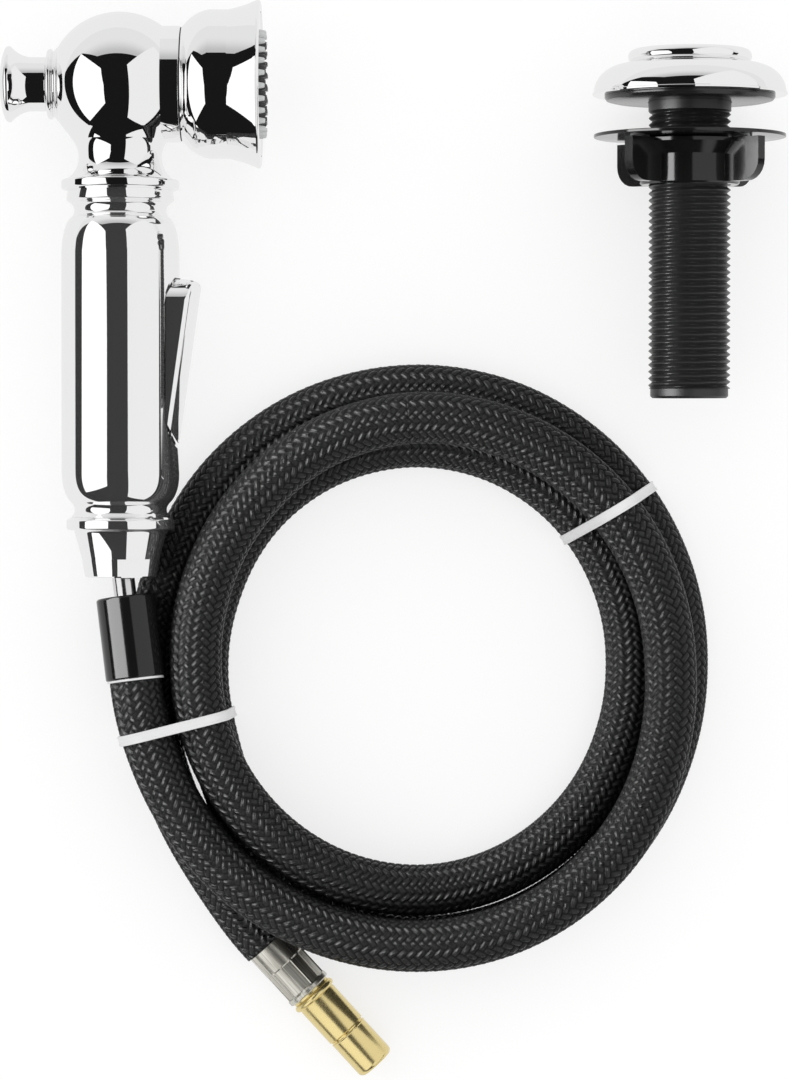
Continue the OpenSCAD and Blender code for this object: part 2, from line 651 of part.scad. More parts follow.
// One tie: a band round the turns, drawn in the plane across them
module tie(angle, yaw, turns) color("White")
    translate([coil_at.x, coil_at.y, 0]) rotate(angle) translate([coil_outer_r, 0, 0]) rotate(yaw)
        translate([-coil_outer_r, 0, 0]) rotate([90, 0, 0]) linear_extrude(height = tie_w, center = true) difference() {
            intersection() {
                hull() for (p = turns) translate(p) circle(r = hose_r + tie_t, $fn = 32);
                square([2 * coil_outer_r, 2 * upper_z]);
            }
            intersection() {
                hull() for (p = turns) translate(p) circle(r = hose_r, $fn = 32);
                translate([0, tie_t]) square([2 * coil_outer_r, 2 * upper_z]);
            }
        }

module tie_upper() tie(38, -7, [[64.8, hose_r], [80.2, hose_r], [73.7, 21.4]]);
module tie_lower() tie(194, 0, [[64.4, hose_r], [80.8, hose_r], [82.4, 23.7], [coil_upper_r, upper_z]]);

// ---- Hose end ----

// Crimped ferrule: round sleeve, the flats that the crimping jaws leave, and a flared lip
module end_ferrule() color("DarkKhaki") along_fitting() difference() {
    union() {
        rod(ferrule_d / 2, crimp_pos);
        rotate(crimp_turn) cylinder(d = ferrule_d - 2 * slip, h = ferrule_len, $fn = crimp_sides);
        translate([0, 0, ferrule_len - lip_t]) rod(ferrule_d / 2 + 0.3, lip_t);
    }
    translate([0, 0, -1]) rod(connector_bore_r, ferrule_len + 2);
}

// Brass quick connector: collar, plain spigot, clip groove and chamfered end
module brass_connector() color("Goldenrod") along_fitting(ferrule_len) turned([
    [connector_bore_r, 0], [connector_d / 2, 0], [connector_d / 2, collar_at], [connector_collar_d / 2, collar_at],
    [connector_collar_d / 2, collar_at + collar_t], [connector_d / 2, collar_at + collar_t + 1],
    [connector_d / 2, connector_groove - groove_w], [connector_d / 2 - groove_depth, connector_groove - groove_w],
    [connector_d / 2 - groove_depth, connector_groove], [connector_d / 2, connector_groove],
    [connector_d / 2, connector_len - end_chamfer], [connector_d / 2 - end_chamfer, connector_len],
    [connector_bore_r, connector_len]
]);

// ---- Deck guide ----

// Chrome cap: stepped dome with a tapered seat for the tail nut
module guide_cap() color("Gainsboro") along_guide() turned(concat(
    [[seat_top_r, 0]],
    arc([step_r - 1.8, 1.8], 1.8, -90, 0, 5),
    [for (i = [0:10]) [step_r + 0.1 + (cap_r - 0.5 - step_r) * sin(i * 9), cap_h - 0.9 - (cap_h - 0.9 - step_h) * cos(i * 9)]],
    [[cap_r, cap_h - 0.7], [cap_r, cap_h - 0.2], [cap_r - 0.3, cap_h], [head_r + slip, cap_h]],
    [[head_r + slip, cap_h - head_h], [seat_top_r - seat_slope * (cap_h - head_h), cap_h - head_h]]
));

// Rubber gasket between the cap and the deck
module guide_gasket() color([0.15, 0.15, 0.15]) along_guide(cap_h) pipe(gasket_d / 2, shank_d / 2 + gap, gasket_t);

// Plastic shank: tapered head, smooth collar, threaded length and plain end, with the hose's way through it.
// The thread's grooves run round the shank, a pitch apart.
module guide_shank() color([0.1, 0.1, 0.1]) along_guide() turned(concat(
    [[shank_bore / 2, seat_end + 0.8], [seat_top_r - seat_slope * seat_end, seat_end]],
    [[seat_top_r - seat_slope * (cap_h - head_h), cap_h - head_h], [head_r, cap_h - head_h], [head_r, cap_h]],
    [[shank_d / 2 + 0.1, cap_h], [shank_d / 2 + 0.1, thread_start], [shank_d / 2, thread_start]],
    [for (k = [0:thread_turns - 1]) for (p = [
        [shank_d / 2 - thread_depth, thread_start + (k + 0.5) * thread_pitch],
        [shank_d / 2, thread_start + (k + 1) * thread_pitch]
    ]) p],
    [[plain_r, thread_end + 0.6], [plain_r, shank_end - 0.6], [plain_r - 0.6, shank_end], [shank_bore / 2, shank_end]]
), thread_fn);

// Dished washer that the wing nut pulls up under the deck
module clamp_washer() color([0.2, 0.2, 0.2]) along_guide(clamp_top) turned([
    [shank_d / 2 + gap, clamp_dish], [clamp_r - 6, clamp_dish / 3], [clamp_r, 0],
    [clamp_r, clamp_t], [clamp_r - 6, clamp_t + clamp_dish / 3], [shank_d / 2 + gap, clamp_t + clamp_dish]
]);

// Wing nut: hub with a conical top and four wings with round lower corners
module wing_nut() color([0.1, 0.1, 0.1]) along_guide(nut_seat) difference() {
    union() {
        turned([
            [0, 0], [hub_top_r, 0], [hub_top_r, 1], [hub_r, 4.5], [hub_r, wing_h - 0.5],
            [hub_r - 0.5, wing_h], [0, wing_h]
        ]);
        for (k = [0:3]) rotate(45 + 90 * k) rotate([90, 0, 0]) translate([0, 0, -wing_t / 2])
            linear_extrude(height = wing_t) polygon(concat(
                [[hub_r - 2, 0], [wing_r, 0]],
                arc([wing_r - wing_corner_r, wing_h - wing_corner_r - 0.4], wing_corner_r, 0, 90, 6),
                [[hub_r - 2, wing_h - 0.4]]
            ));
    }
    translate([0, 0, -1]) rod(shank_d / 2 + slip, wing_h + 2);
}

head_body();
neck_seal();
bell_gasket();
spray_bell();
face_plate();
nozzle_mat();
stream_insert();
knob_gland();
diverter_knob();
diverter_spool();
spool_seals();
handle_barrel();
tail_nut();
trigger_lever();
lever_pin();
valve_insert();
valve_plunger();
valve_spring();
swivel_socket();
swivel_seal();
swivel_stub();
hose_crimp();
sleeve_nut();
nut_washer();
hose_lead();
hose_coil();
hose_tail();
tie_upper();
tie_lower();
end_ferrule();
brass_connector();
guide_cap();
guide_gasket();
guide_shank();
clamp_washer();
wing_nut();
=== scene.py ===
"""Handheld bath sprayer on its coiled, braided hose, and the deck guide that it parks in."""

import json
from math import asin, atan, cos, pi, radians, sin

import bmesh
import bpy
import numpy as np
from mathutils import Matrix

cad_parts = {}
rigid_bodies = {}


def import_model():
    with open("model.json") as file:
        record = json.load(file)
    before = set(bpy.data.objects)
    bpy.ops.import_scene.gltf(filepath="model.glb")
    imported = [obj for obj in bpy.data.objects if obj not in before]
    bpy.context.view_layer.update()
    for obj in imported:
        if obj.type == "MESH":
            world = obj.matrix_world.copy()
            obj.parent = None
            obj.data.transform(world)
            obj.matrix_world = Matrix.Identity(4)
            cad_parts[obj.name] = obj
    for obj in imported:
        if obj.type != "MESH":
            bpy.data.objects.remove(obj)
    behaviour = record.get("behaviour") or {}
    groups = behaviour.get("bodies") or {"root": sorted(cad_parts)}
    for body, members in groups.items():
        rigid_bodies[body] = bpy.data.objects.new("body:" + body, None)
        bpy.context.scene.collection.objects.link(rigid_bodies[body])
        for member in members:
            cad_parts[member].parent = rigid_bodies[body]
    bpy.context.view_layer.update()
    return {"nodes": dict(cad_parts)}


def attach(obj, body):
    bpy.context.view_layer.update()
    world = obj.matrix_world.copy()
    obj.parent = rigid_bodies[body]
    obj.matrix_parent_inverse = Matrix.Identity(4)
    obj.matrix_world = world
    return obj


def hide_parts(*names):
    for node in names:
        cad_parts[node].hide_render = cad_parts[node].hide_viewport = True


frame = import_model()


# ---- Camera, floor and studio ----
# The set lies on a pale table under a camera that looks straight down. The room is white for dull pieces.
# Polish mirrors it dark, with a grey sweep behind the table and a bright card on each side.

camera = bpy.data.objects.new("camera", bpy.data.cameras.new("camera"))
camera.location = (0.00045, -0.0567, 1.1)
camera.data.lens = 122.2
camera.data.clip_start = 0.01
bpy.context.scene.collection.objects.link(camera)
bpy.context.scene.camera = camera
bpy.context.scene.view_settings.view_transform = "Standard"


def add(tree, kind, feeds=(), **settings):
    """Adds one shader node. feeds gives its inputs by name or number: a socket is linked, and a value is
    set."""
    made = tree.nodes.new("ShaderNode" + kind)
    for name, value in settings.items():
        setattr(made, name, value)
    for at, value in dict(feeds).items():
        if isinstance(value, bpy.types.NodeSocket):
            tree.links.new(value, made.inputs[at])
        else:
            made.inputs[at].default_value = value
    return made


def maths(tree, operation, a, b=0.0, c=0.0):
    """Result of one Math node."""
    return add(tree, "Math", {0: a, 1: b, 2: c}, operation=operation).outputs[0]


def step_up(tree, value, low, high, to_low=0.0, to_high=1.0):
    """Smooth step from to_low to to_high while value goes from low to high."""
    feeds = {0: value, 1: low, 2: high, 3: to_low, 4: to_high}
    return add(tree, "MapRange", feeds, interpolation_type="SMOOTHSTEP").outputs[0]


def blended(tree, factor, a, b):
    """Colour a, turning into colour b as factor goes from 0 to 1. A grey is given as one number."""
    a, b = ((c, c, c, 1) if isinstance(c, float) else c for c in (a, b))
    return add(tree, "Mix", {0: factor, 6: a, 7: b}, data_type="RGBA").outputs[2]


def stand(name, corners, material):
    """A flat piece of the studio, with its corners in mm."""
    mesh = bpy.data.meshes.new(name)
    mesh.from_pydata([[c * 0.001 for c in corner] for corner in corners], [], [tuple(range(len(corners)))])
    mesh.materials.append(material)
    made = bpy.data.objects.new(name, mesh)
    bpy.context.scene.collection.objects.link(made)
    return made


# The sweep's upper edge is level behind the table and bows down to the left, and the sweep is paler at its
# foot. Heights here are height by distance, and edges are given straight ahead and by how far to the left one
# looks.
DARK = 0.009
LEVEL_EDGE = 1.06
BOWED_EDGE = (2.42, -1.6)
LOW_EDGE = (0.728, -0.264)
SWEEP_TONES = {"foot": (0.3, 0.8), "top": (1.0, 0.52)}      # height and tone
world = bpy.data.worlds.new("studio")
bpy.context.scene.world = world
world.use_nodes = True
sky = world.node_tree
sky.nodes.clear()
direction = add(sky, "TexCoord").outputs["Generated"]
direction = add(sky, "VectorMath", {0: direction}, operation="NORMALIZE").outputs[0]
towards = add(sky, "SeparateXYZ", {0: direction}).outputs
ahead = maths(sky, "MAXIMUM", towards["Y"], 0.001)
slope = maths(sky, "DIVIDE", towards["Z"], ahead)
left = maths(sky, "DIVIDE", maths(sky, "MULTIPLY", towards["X"], -1.0), ahead)
left = maths(sky, "MAXIMUM", left, 0.0)
bowed = maths(sky, "MULTIPLY_ADD", left, BOWED_EDGE[1], BOWED_EDGE[0])
low = maths(sky, "MULTIPLY_ADD", left, LOW_EDGE[1], LOW_EDGE[0])
rim = maths(sky, "MAXIMUM", maths(sky, "MINIMUM", bowed, LEVEL_EDGE), low)
over = maths(sky, "SUBTRACT", slope, rim)
sweep = maths(sky, "MULTIPLY", step_up(sky, over, 0.01, -0.01), step_up(sky, towards["Y"], 0.0, 0.02))
(foot, foot_tone), (edge, edge_tone) = SWEEP_TONES.values()
seen = blended(sky, sweep, DARK, step_up(sky, slope, foot, edge, foot_tone, edge_tone))
seen = blended(sky, add(sky, "LightPath").outputs["Is Glossy Ray"], 1.0, seen)
light = add(sky, "Background", {"Color": seen, "Strength": 1.0})
sky.links.new(light.outputs[0], add(sky, "OutputWorld").inputs[0])

# Cards that only gloss sees: a white softbox on the left and a grey panel on the right. Before the softbox
# hangs a lamp that lights nothing but dull black, and by the hose's end a card for its fittings alone. Both
# are clear.
LEFT = [(-256, 209, 89), (-256, 200, 375), (-256, 11, 462), (-256, -232, 428), (-256, -145, 65)]
SOFTBOXES = {
    "left_softbox": (1.15, LEFT),
    "right_panel": (0.87, [(88, 355, 637), (155, -877, 535), (462, -880, 60), (445, 652, 100)]),
    "dull_lamp": (7.5, [(x + 2, y, z) for x, y, z in LEFT]),
    "end_card": (1.05, [(-176, -247, 51), (-34, -402, 51), (32, -341, 217), (-110, -186, 217)]),
}
for name, (strength, corners) in SOFTBOXES.items():
    lamp = bpy.data.materials.new(name)
    lamp.use_nodes = True
    tree = lamp.node_tree
    tree.nodes.clear()
    glow = add(tree, "Emission", {"Color": (1, 1, 1, 1), "Strength": strength})
    if name in ("dull_lamp", "end_card"):
        glow = add(tree, "AddShader", {0: glow.outputs[0], 1: add(tree, "BsdfTransparent").outputs[0]})
    tree.links.new(glow.outputs[0], add(tree, "OutputMaterial").inputs[0])
    softbox = stand(name, corners, lamp)
    for rays in ("camera", "diffuse", "transmission", "volume_scatter", "shadow"):
        setattr(softbox, "visible_" + rays, False)

# The table: pale paper that glows a little for the camera and keeps the shadows. Polish mirrors it evenly.
TABLE = (-480, 420, -550, 550)
TABLE_Z = -0.2
table = bpy.data.materials.new("pale_table")
table.use_nodes = True
tree = table.node_tree
tree.nodes.clear()
ray = add(tree, "LightPath").outputs
pale = add(tree, "BsdfDiffuse", {"Color": (0.8, 0.8, 0.8, 1)})
shaded = add(tree, "BsdfDiffuse", {"Color": (0.33, 0.33, 0.33, 1)})
glow = add(tree, "Emission", {"Color": (0.7, 0.7, 0.7, 1)})
paper = add(tree, "AddShader", {0: shaded.outputs[0], 1: glow.outputs[0]})
mirrored = add(tree, "Emission", {"Color": (0.86, 0.86, 0.86, 1)})
shown = add(tree, "MixShader", {0: ray["Is Camera Ray"], 1: pale.outputs[0], 2: paper.outputs[0]})
shown = add(tree, "MixShader", {0: ray["Is Glossy Ray"], 1: shown.outputs[0], 2: mirrored.outputs[0]})
tree.links.new(shown.outputs[0], add(tree, "OutputMaterial").inputs[0])
west, east, south, north = TABLE
table_corners = [(west, south), (east, south), (east, north), (west, north)]
stand("table_top", [(*corner, TABLE_Z) for corner in table_corners], table)


# ---- Hose ----
# A rubber water hose of 1.5 m under a braid of black nylon. From the nut it runs over the coil, goes three
# times round, comes down to the floor and leaves under its own beginning. It is crimped at both ends.

MM = 0.001
HOSE_D = 15.2
COIL_MIDDLE = (7.5, -94.0)
# Route of the hose's middle: degrees round the coil, radius and height in mm
ROUTE = np.array([
    (182.76, 83.1, 24), (185.51, 82.89, 24.2), (190, 82.6, 23.8), (198, 81.9, 23.4), (207, 81.8, 23),
    (217, 81.8, 22.9), (228, 82, 22.9), (240, 82, 22.9), (252, 82, 22.9), (264, 82, 22.9), (276, 81.9, 22.9),
    (288, 81.5, 22.9), (300, 80.7, 22.9), (312, 79.6, 22.8), (324, 78.2, 22.8), (336, 76.6, 22.7),
    (348, 75.1, 22.4), (360, 74, 22.2), (380, 73.8, 21.8), (405, 73.7, 21.4), (430, 73.6, 21),
    (450, 73.4, 21), (475, 71.6, 21.8), (495, 69.2, 22.2), (520, 66.6, 22.8), (540, 65.4, 22.9),
    (560, 65.3, 22.9), (580, 65.4, 22.4), (592, 65.6, 21.2), (602, 65.9, 19.4), (612, 66.2, 17),
    (622, 66.5, 13.9), (632, 66.8, 10.6), (642, 66.7, 8.3), (655, 66.2, 7.6), (675, 65.2, 7.6),
    (700, 63.8, 7.6), (720, 63.4, 7.6), (745, 64.2, 7.6), (765, 65.2, 7.6), (790, 66.2, 7.6),
    (810, 66.6, 7.6), (835, 66.3, 7.6), (855, 65.6, 7.6), (880, 64.1, 7.6), (900, 64.1, 7.6),
    (918, 64.6, 7.6), (930, 66.6, 7.6), (942, 70, 7.6), (955, 74.6, 7.6), (968, 78.8, 7.6), (980, 81.4, 7.6),
    (992, 82.4, 7.6), (1010, 82, 7.6), (1035, 80.5, 7.6), (1060, 78.9, 7.6), (1080, 78.6, 7.6),
    (1105, 79.6, 7.6), (1125, 80.6, 7.6), (1150, 81.8, 7.6), (1170, 82, 7.6), (1195, 81.6, 7.6),
    (1215, 80.6, 7.6), (1232, 79.4, 7.6), (1250, 79, 7.6), (1260, 79.2, 7.6), (1270, 80.4, 7.6),
    (1280, 81.8, 7.6), (1289, 83, 7.6), (1297, 84.4, 7.6), (1305, 86.4, 7.6), (1312, 89.2, 7.6),
    (1319.2, 93.19, 7.6), (1321.53, 94.41, 7.6),
])
BRAID_COLUMNS = 18      # columns of floats round the hose
BRAID_PITCH = 2.6       # mm along the hose from one float to the next
BRAID_DEPTH = 0.85
BRAID_CELLS = 6         # mesh cells to a column and to a pitch
ROUTE_EASE = 3.5        # degrees over which the route is averaged


def round_coil(step=0.25):
    """Points of the hose's middle in mm. Radius and height follow the angle straight from one point of the
    route to the next, and are averaged with a bell curve over a few degrees. Past the ends they run straight
    on."""
    first, last = ROUTE[0], ROUTE[-1]
    before = first + (ROUTE[0] - ROUTE[1]) * 6
    after = last + (ROUTE[-1] - ROUTE[-2]) * 8
    rows = np.vstack([before, ROUTE, after])
    spare = int(round(3 * ROUTE_EASE / step))
    bell = np.exp(-0.5 * (np.arange(-spare, spare + 1) * step / ROUTE_EASE) ** 2)
    count = int(round((last[0] - first[0]) / step))
    turns = np.linspace(first[0], last[0], count + 1)
    wide = first[0] + (np.arange(-spare, count + spare + 1)) * (last[0] - first[0]) / count
    bell = bell / bell.sum()
    radius, height = (np.convolve(np.interp(wide, rows[:, 0], rows[:, k]), bell, "valid") for k in (1, 2))
    turns = np.radians(turns)
    x = COIL_MIDDLE[0] + radius * np.cos(turns)
    y = COIL_MIDDLE[1] + radius * np.sin(turns)
    return np.stack([x, y, height], 1)


def evenly(points, step):
    """The same line with its points a fixed step apart, and the distance along it to each of them."""
    along = np.concatenate([[0], np.cumsum(np.linalg.norm(np.diff(points, axis=0), axis=1))])
    at = np.linspace(0, along[-1], int(round(along[-1] / step)) + 1)
    return np.stack([np.interp(at, along, points[:, k]) for k in range(3)], 1), at


def unit(vectors):
    """Vectors of length 1."""
    vectors = np.asarray(vectors, float)
    return vectors / np.linalg.norm(vectors, axis=-1, keepdims=True)


def tube(line, offsets):
    """Rows of points round a line: offsets gives each point's distance from it, row by row. The corners start
    at the right of the line, seen along it, and turn over the top."""
    ahead = unit(np.gradient(line, axis=0))
    right = unit(np.cross(ahead, (0, 0, 1)))
    up = np.cross(right, ahead)
    turn = np.arange(offsets.shape[1]) * 2 * pi / offsets.shape[1]
    spokes = np.cos(turn)[None, :, None] * right[:, None] + np.sin(turn)[None, :, None] * up[:, None]
    return line[:, None] + offsets[..., None] * spokes


def braid_height(column, row):
    """Height of the braid from 0 in its gaps to 1 on a float. Yarns run both ways at 45 degrees: a = column +
    row and b = column - row number them. The first kind lies on top where the two whole numbers add up to 0
    or 1 in a cycle of 4, else the second. Each float is round across and dips at its two ends: its height is
    the root of crown times dip, each of them 1 less a power of how far a point is from the float's middle."""
    a, b = column + row, column - row
    whole_a, whole_b = np.floor(a + 1e-6), np.floor(b + 1e-6)
    first = np.mod(whole_a + whole_b, 4) < 2
    across = np.where(first, a - whole_a, b - whole_b)
    along = np.where(first, np.mod(whole_a + b, 4), np.mod(a + whole_b, 4) - 2) / 2
    crown = 1 - np.abs(2 * across - 1) ** 2
    dip = 1 - np.abs(2 * along - 1) ** 2.4
    return np.sqrt(np.clip(crown * dip, 0, 1))


def shell(rows, ends="flat"):
    """Faces over a grid of points, rows x columns x 3, in which each row closes on itself. ends: flat closes
    the first and last row with a point in its middle, last only the last, and ring joins the last row to the
    first. Returns the points, the faces of 4 corners and those of 3."""
    count, across = rows.shape[:2]
    corners = np.arange(count * across).reshape(count, across)
    points, fans = rows.reshape(-1, 3), np.zeros((0, 3), int)
    if ends in ("flat", "last"):
        points = np.vstack([points, rows[[0, -1]].mean(1)])
        hub = np.full(across, count * across)
        first, last = corners[0], corners[-1]
        fans = np.stack([hub + 1, last, np.roll(last, -1)], 1)
        if ends == "flat":
            fans = np.vstack([np.stack([hub, np.roll(first, -1), first], 1), fans])
    if ends == "ring":
        corners = np.vstack([corners, corners[:1]])
    low, high = corners[:-1], corners[1:]
    quads = np.stack([low, np.roll(low, -1, 1), np.roll(high, -1, 1), high], -1).reshape(-1, 4)
    return points, quads, fans


def piece(name, body, material, shells, crease=32, replaces=(), weave=None):
    """Makes one object of shells given in mm. Points that meet are joined, and the faces are turned outwards.
    Edges sharper than crease degrees stay sharp. weave gives the place in the weave of each corner of a
    face."""
    starts = np.cumsum([0] + [len(points) for points, _, _ in shells])
    points = np.vstack([points for points, _, _ in shells]) * MM
    quads = np.vstack([faces + at for (_, faces, _), at in zip(shells, starts)])
    fans = np.vstack([faces + at for (_, _, faces), at in zip(shells, starts)])
    mesh = bpy.data.meshes.new(name)
    mesh.vertices.add(len(points))
    mesh.vertices.foreach_set("co", points.ravel())
    mesh.loops.add(quads.size + fans.size)
    mesh.loops.foreach_set("vertex_index", np.concatenate([quads.ravel(), fans.ravel()]))
    mesh.polygons.add(len(quads) + len(fans))
    corners = np.concatenate([np.arange(len(quads)) * 4, quads.size + np.arange(len(fans)) * 3])
    mesh.polygons.foreach_set("loop_start", corners)
    mesh.update(calc_edges=True)
    if weave is not None:
        layer = mesh.uv_layers.new(name="UVMap")
        every = np.zeros((quads.size + fans.size, 2))
        every[:len(weave)] = weave
        layer.data.foreach_set("uv", every.ravel())
    return settle(name, mesh, body, material, crease, replaces)


def settle(name, mesh, body, material, crease=32, replaces=()):
    """Finishes a mesh and puts it on its body as a piece of the object."""
    work = bmesh.new()
    work.from_mesh(mesh)
    bmesh.ops.remove_doubles(work, verts=work.verts, dist=1e-7)
    bmesh.ops.recalc_face_normals(work, faces=work.faces)
    work.to_mesh(mesh)
    work.free()
    mesh.polygons.foreach_set("use_smooth", np.ones(len(mesh.polygons), bool))
    mesh.set_sharp_from_angle(angle=radians(crease))
    mesh.materials.append(material)
    made = bpy.data.objects.new(name, mesh)
    bpy.context.scene.collection.objects.link(made)
    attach(made, body)
    if replaces:
        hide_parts(*replaces)
    return made


def finish(name, colour, roughness, metallic=0.0, **sockets):
    """Starts a material with a Principled shader. Returns the material, its node tree and the shader's
    inputs."""
    material = bpy.data.materials.new(name)
    material.use_nodes = True
    tree = material.node_tree
    shader = tree.nodes["Principled BSDF"].inputs
    shader["Base Color"].default_value = (*colour, 1)
    shader["Roughness"].default_value = roughness
    shader["Metallic"].default_value = metallic
    for label, value in sockets.items():
        shader[label.replace("_", " ")].default_value = value
    return material, tree, shader


def effect(name, values, outputs):
    """Starts a group of nodes with a number input for each of values. Returns it with its inputs and
    outputs."""
    group = bpy.data.node_groups.new(name, "ShaderNodeTree")
    for label, value in values.items():
        group.interface.new_socket(label, in_out="INPUT", socket_type="NodeSocketFloat").default_value = value
    for label in outputs:
        group.interface.new_socket(label, in_out="OUTPUT", socket_type="NodeSocketFloat")
    return group, group.nodes.new("NodeGroupInput").outputs, group.nodes.new("NodeGroupOutput").inputs


def noise(tree, scale, detail=3.0):
    """Noise from 0 to 1 over the object, scale to a metre."""
    where = add(tree, "TexCoord").outputs["Object"]
    return add(tree, "TexNoise", {"Vector": where, "Scale": scale, "Detail": detail}).outputs[0]


# Skin of moulded plastic and rubber: fine grain with faint clouds
moulded, given, out = effect("moulded_skin", {"Grain": 900.0}, ("Tone", "Height"))
where = add(moulded, "TexCoord").outputs["Object"]
grain = add(moulded, "TexNoise", {"Vector": where, "Scale": given["Grain"], "Detail": 3.0}).outputs[0]
tone = maths(moulded, "MULTIPLY_ADD", noise(moulded, 60.0), 0.6, maths(moulded, "MULTIPLY", grain, 0.4))
moulded.links.new(tone, out["Tone"])
moulded.links.new(grain, out["Height"])


def plastic(name, dark, pale, roughness, grain, depth, **sockets):
    """A moulded finish that varies from a dark to a pale tone, with grain to a metre and depth in metres."""
    material, tree, shader = finish(name, dark, roughness, 0.0, **sockets)
    skin = add(tree, "Group", {}, node_tree=moulded)
    skin.inputs["Grain"].default_value = grain
    tree.links.new(blended(tree, skin.outputs["Tone"], (*dark, 1), (*pale, 1)), shader["Base Color"])
    bump = add(tree, "Bump", {"Height": skin.outputs["Height"], "Distance": depth, "Strength": 1.0})
    tree.links.new(bump.outputs["Normal"], shader["Normal"])
    return material


braid, tree, shader = finish("black_nylon_braid", (0.008, 0.008, 0.009), 0.4, Specular_IOR_Level=0.4)
place = add(tree, "SeparateXYZ", {0: add(tree, "UVMap").outputs["UV"]}).outputs
column = maths(tree, "MULTIPLY", place["X"], float(BRAID_COLUMNS))
yarns = [maths(tree, way, column, place["Y"]) for way in ("ADD", "SUBTRACT")]
whole = [maths(tree, "FLOOR", yarn) for yarn in yarns]
cycle = maths(tree, "FLOORED_MODULO", maths(tree, "ADD", *whole), 4.0)
first = maths(tree, "LESS_THAN", cycle, 2.0)
part = [maths(tree, "SUBTRACT", yarn, low) for yarn, low in zip(yarns, whole)]
across = blended(tree, first, part[1], part[0])
sums = [maths(tree, "ADD", low, yarn) for low, yarn in zip(whole, yarns[::-1])]
runs = [maths(tree, "FLOORED_MODULO", total, 4.0) for total in sums]
along = blended(tree, first, maths(tree, "SUBTRACT", runs[1], 2.0), runs[0])
edge = maths(tree, "ABSOLUTE", maths(tree, "MULTIPLY_ADD", across, 2.0, -1.0))
tip = maths(tree, "ABSOLUTE", maths(tree, "SUBTRACT", along, 1.0))
open_part = maths(tree, "MULTIPLY", step_up(tree, edge, 1.0, 0.55), step_up(tree, tip, 1.0, 0.6))
number = add(tree, "CombineXYZ", {0: whole[0], 1: whole[1], 2: first}).outputs[0]
chance = add(tree, "TexWhiteNoise", {"Vector": number}, noise_dimensions="3D").outputs["Value"]
phase = maths(tree, "MULTIPLY", chance, 6.0)
strand = maths(tree, "SINE", maths(tree, "MULTIPLY_ADD", across, 6 * pi, phase))
# Painted shade: the colour falls to near black in the gaps between floats, and float tones vary at random.
tone = maths(tree, "MULTIPLY", open_part, maths(tree, "MULTIPLY_ADD", chance, 0.5, 0.5))
YARN_GAP_PAINTED_SHADE, YARN_TOP = (0.0008, 0.0008, 0.0008, 1), (0.008, 0.008, 0.0085, 1)
tree.links.new(blended(tree, tone, YARN_GAP_PAINTED_SHADE, YARN_TOP), shader["Base Color"])
rough = maths(tree, "MULTIPLY_ADD", open_part, -0.5, maths(tree, "MULTIPLY_ADD", chance, 0.12, 0.74))
tree.links.new(rough, shader["Roughness"])
fibre = maths(tree, "MULTIPLY", maths(tree, "MULTIPLY_ADD", strand, 0.5, 0.5), open_part)
bump = add(tree, "Bump", {"Height": fibre, "Distance": 0.0001, "Strength": 0.8})
tree.links.new(bump.outputs["Normal"], shader["Normal"])

hose_line, hose_along = evenly(round_coil(), BRAID_PITCH / BRAID_CELLS)
hose_columns = np.arange(BRAID_COLUMNS * BRAID_CELLS) / BRAID_CELLS
hose_rows = np.arange(len(hose_line)) / BRAID_CELLS
hose_rise = braid_height(hose_columns[None, :], hose_rows[:, None])
hose_skin = tube(hose_line, HOSE_D / 2 + 0.15 - BRAID_DEPTH * (1 - hose_rise))
HOSE_PIECES = 4
cuts = np.linspace(0, len(hose_line) - 1, HOSE_PIECES + 1).astype(int)
rubber = plastic("black_rubber", (0.018, 0.018, 0.019), (0.03, 0.03, 0.03), 0.6, 1500.0, 0.00002)
core_line = np.vstack([hose_line[:-1:4], hose_line[-1:]])
core_skin = tube(core_line, np.full((len(core_line), 32), HOSE_D / 2 - BRAID_DEPTH - 0.1))
rubber_hose = piece(
    "rubber_hose", "hose", rubber, [shell(core_skin)], 40, ("hose_lead", "hose_coil", "hose_tail")
)
braids = []
for k in range(HOSE_PIECES):
    rows = np.arange(cuts[k], cuts[k + 1] + 1)
    turn = np.arange(hose_skin.shape[1])
    wrap = np.stack([turn, turn + 1, turn + 1, turn], -1) / hose_skin.shape[1]
    weave = np.zeros((len(rows) - 1, len(turn), 4, 2))
    weave[..., 0] = wrap
    weave[..., :2, 1] = hose_rows[rows[:-1], None, None]
    weave[..., 2:, 1] = hose_rows[rows[1:], None, None]
    made = piece(
        "braided_hose_%d" % (k + 1), "hose", braid, [shell(hose_skin[rows])], 180, (),
        weave.reshape(-1, 2),
    )
    braids.append(made)


# ---- Hose end ----
# A nickel-plated sleeve crimped on the hose between twelve jaws, and a turned brass quick connector pressed
# into it, with a groove that the coupling's clip drops into.

HOSE_END = (-37.5, -177.0, 7.6)
HOSE_END_TURN = radians(-47.5)
FERRULE_LEN = 18.8
FERRULE_R = 6.85
FERRULE_BORE = 3.5
CRIMP_SIDES = 12
CRIMP_TURN = 9          # degrees from the hose's underside to the first ridge
CRIMP_RIDGE = (0.16, 0.03)      # height in mm, and width in radians
# Distance along the ferrule and radius of its sections in mm. A radius of 0 stands for the marks of the jaws.
FERRULE = [
    (0, FERRULE_BORE), (0, 6.6), (0.25, FERRULE_R), (7.2, FERRULE_R), (7.5, FERRULE_R), (7.9, 0), (8.0, 0),
    (9.6, 0), (9.7, 0), (16.9, 0), (17.2, 7.0), (17.5, 7.15), (18.5, 7.15), (FERRULE_LEN, 6.9),
    (FERRULE_LEN, FERRULE_BORE),
]


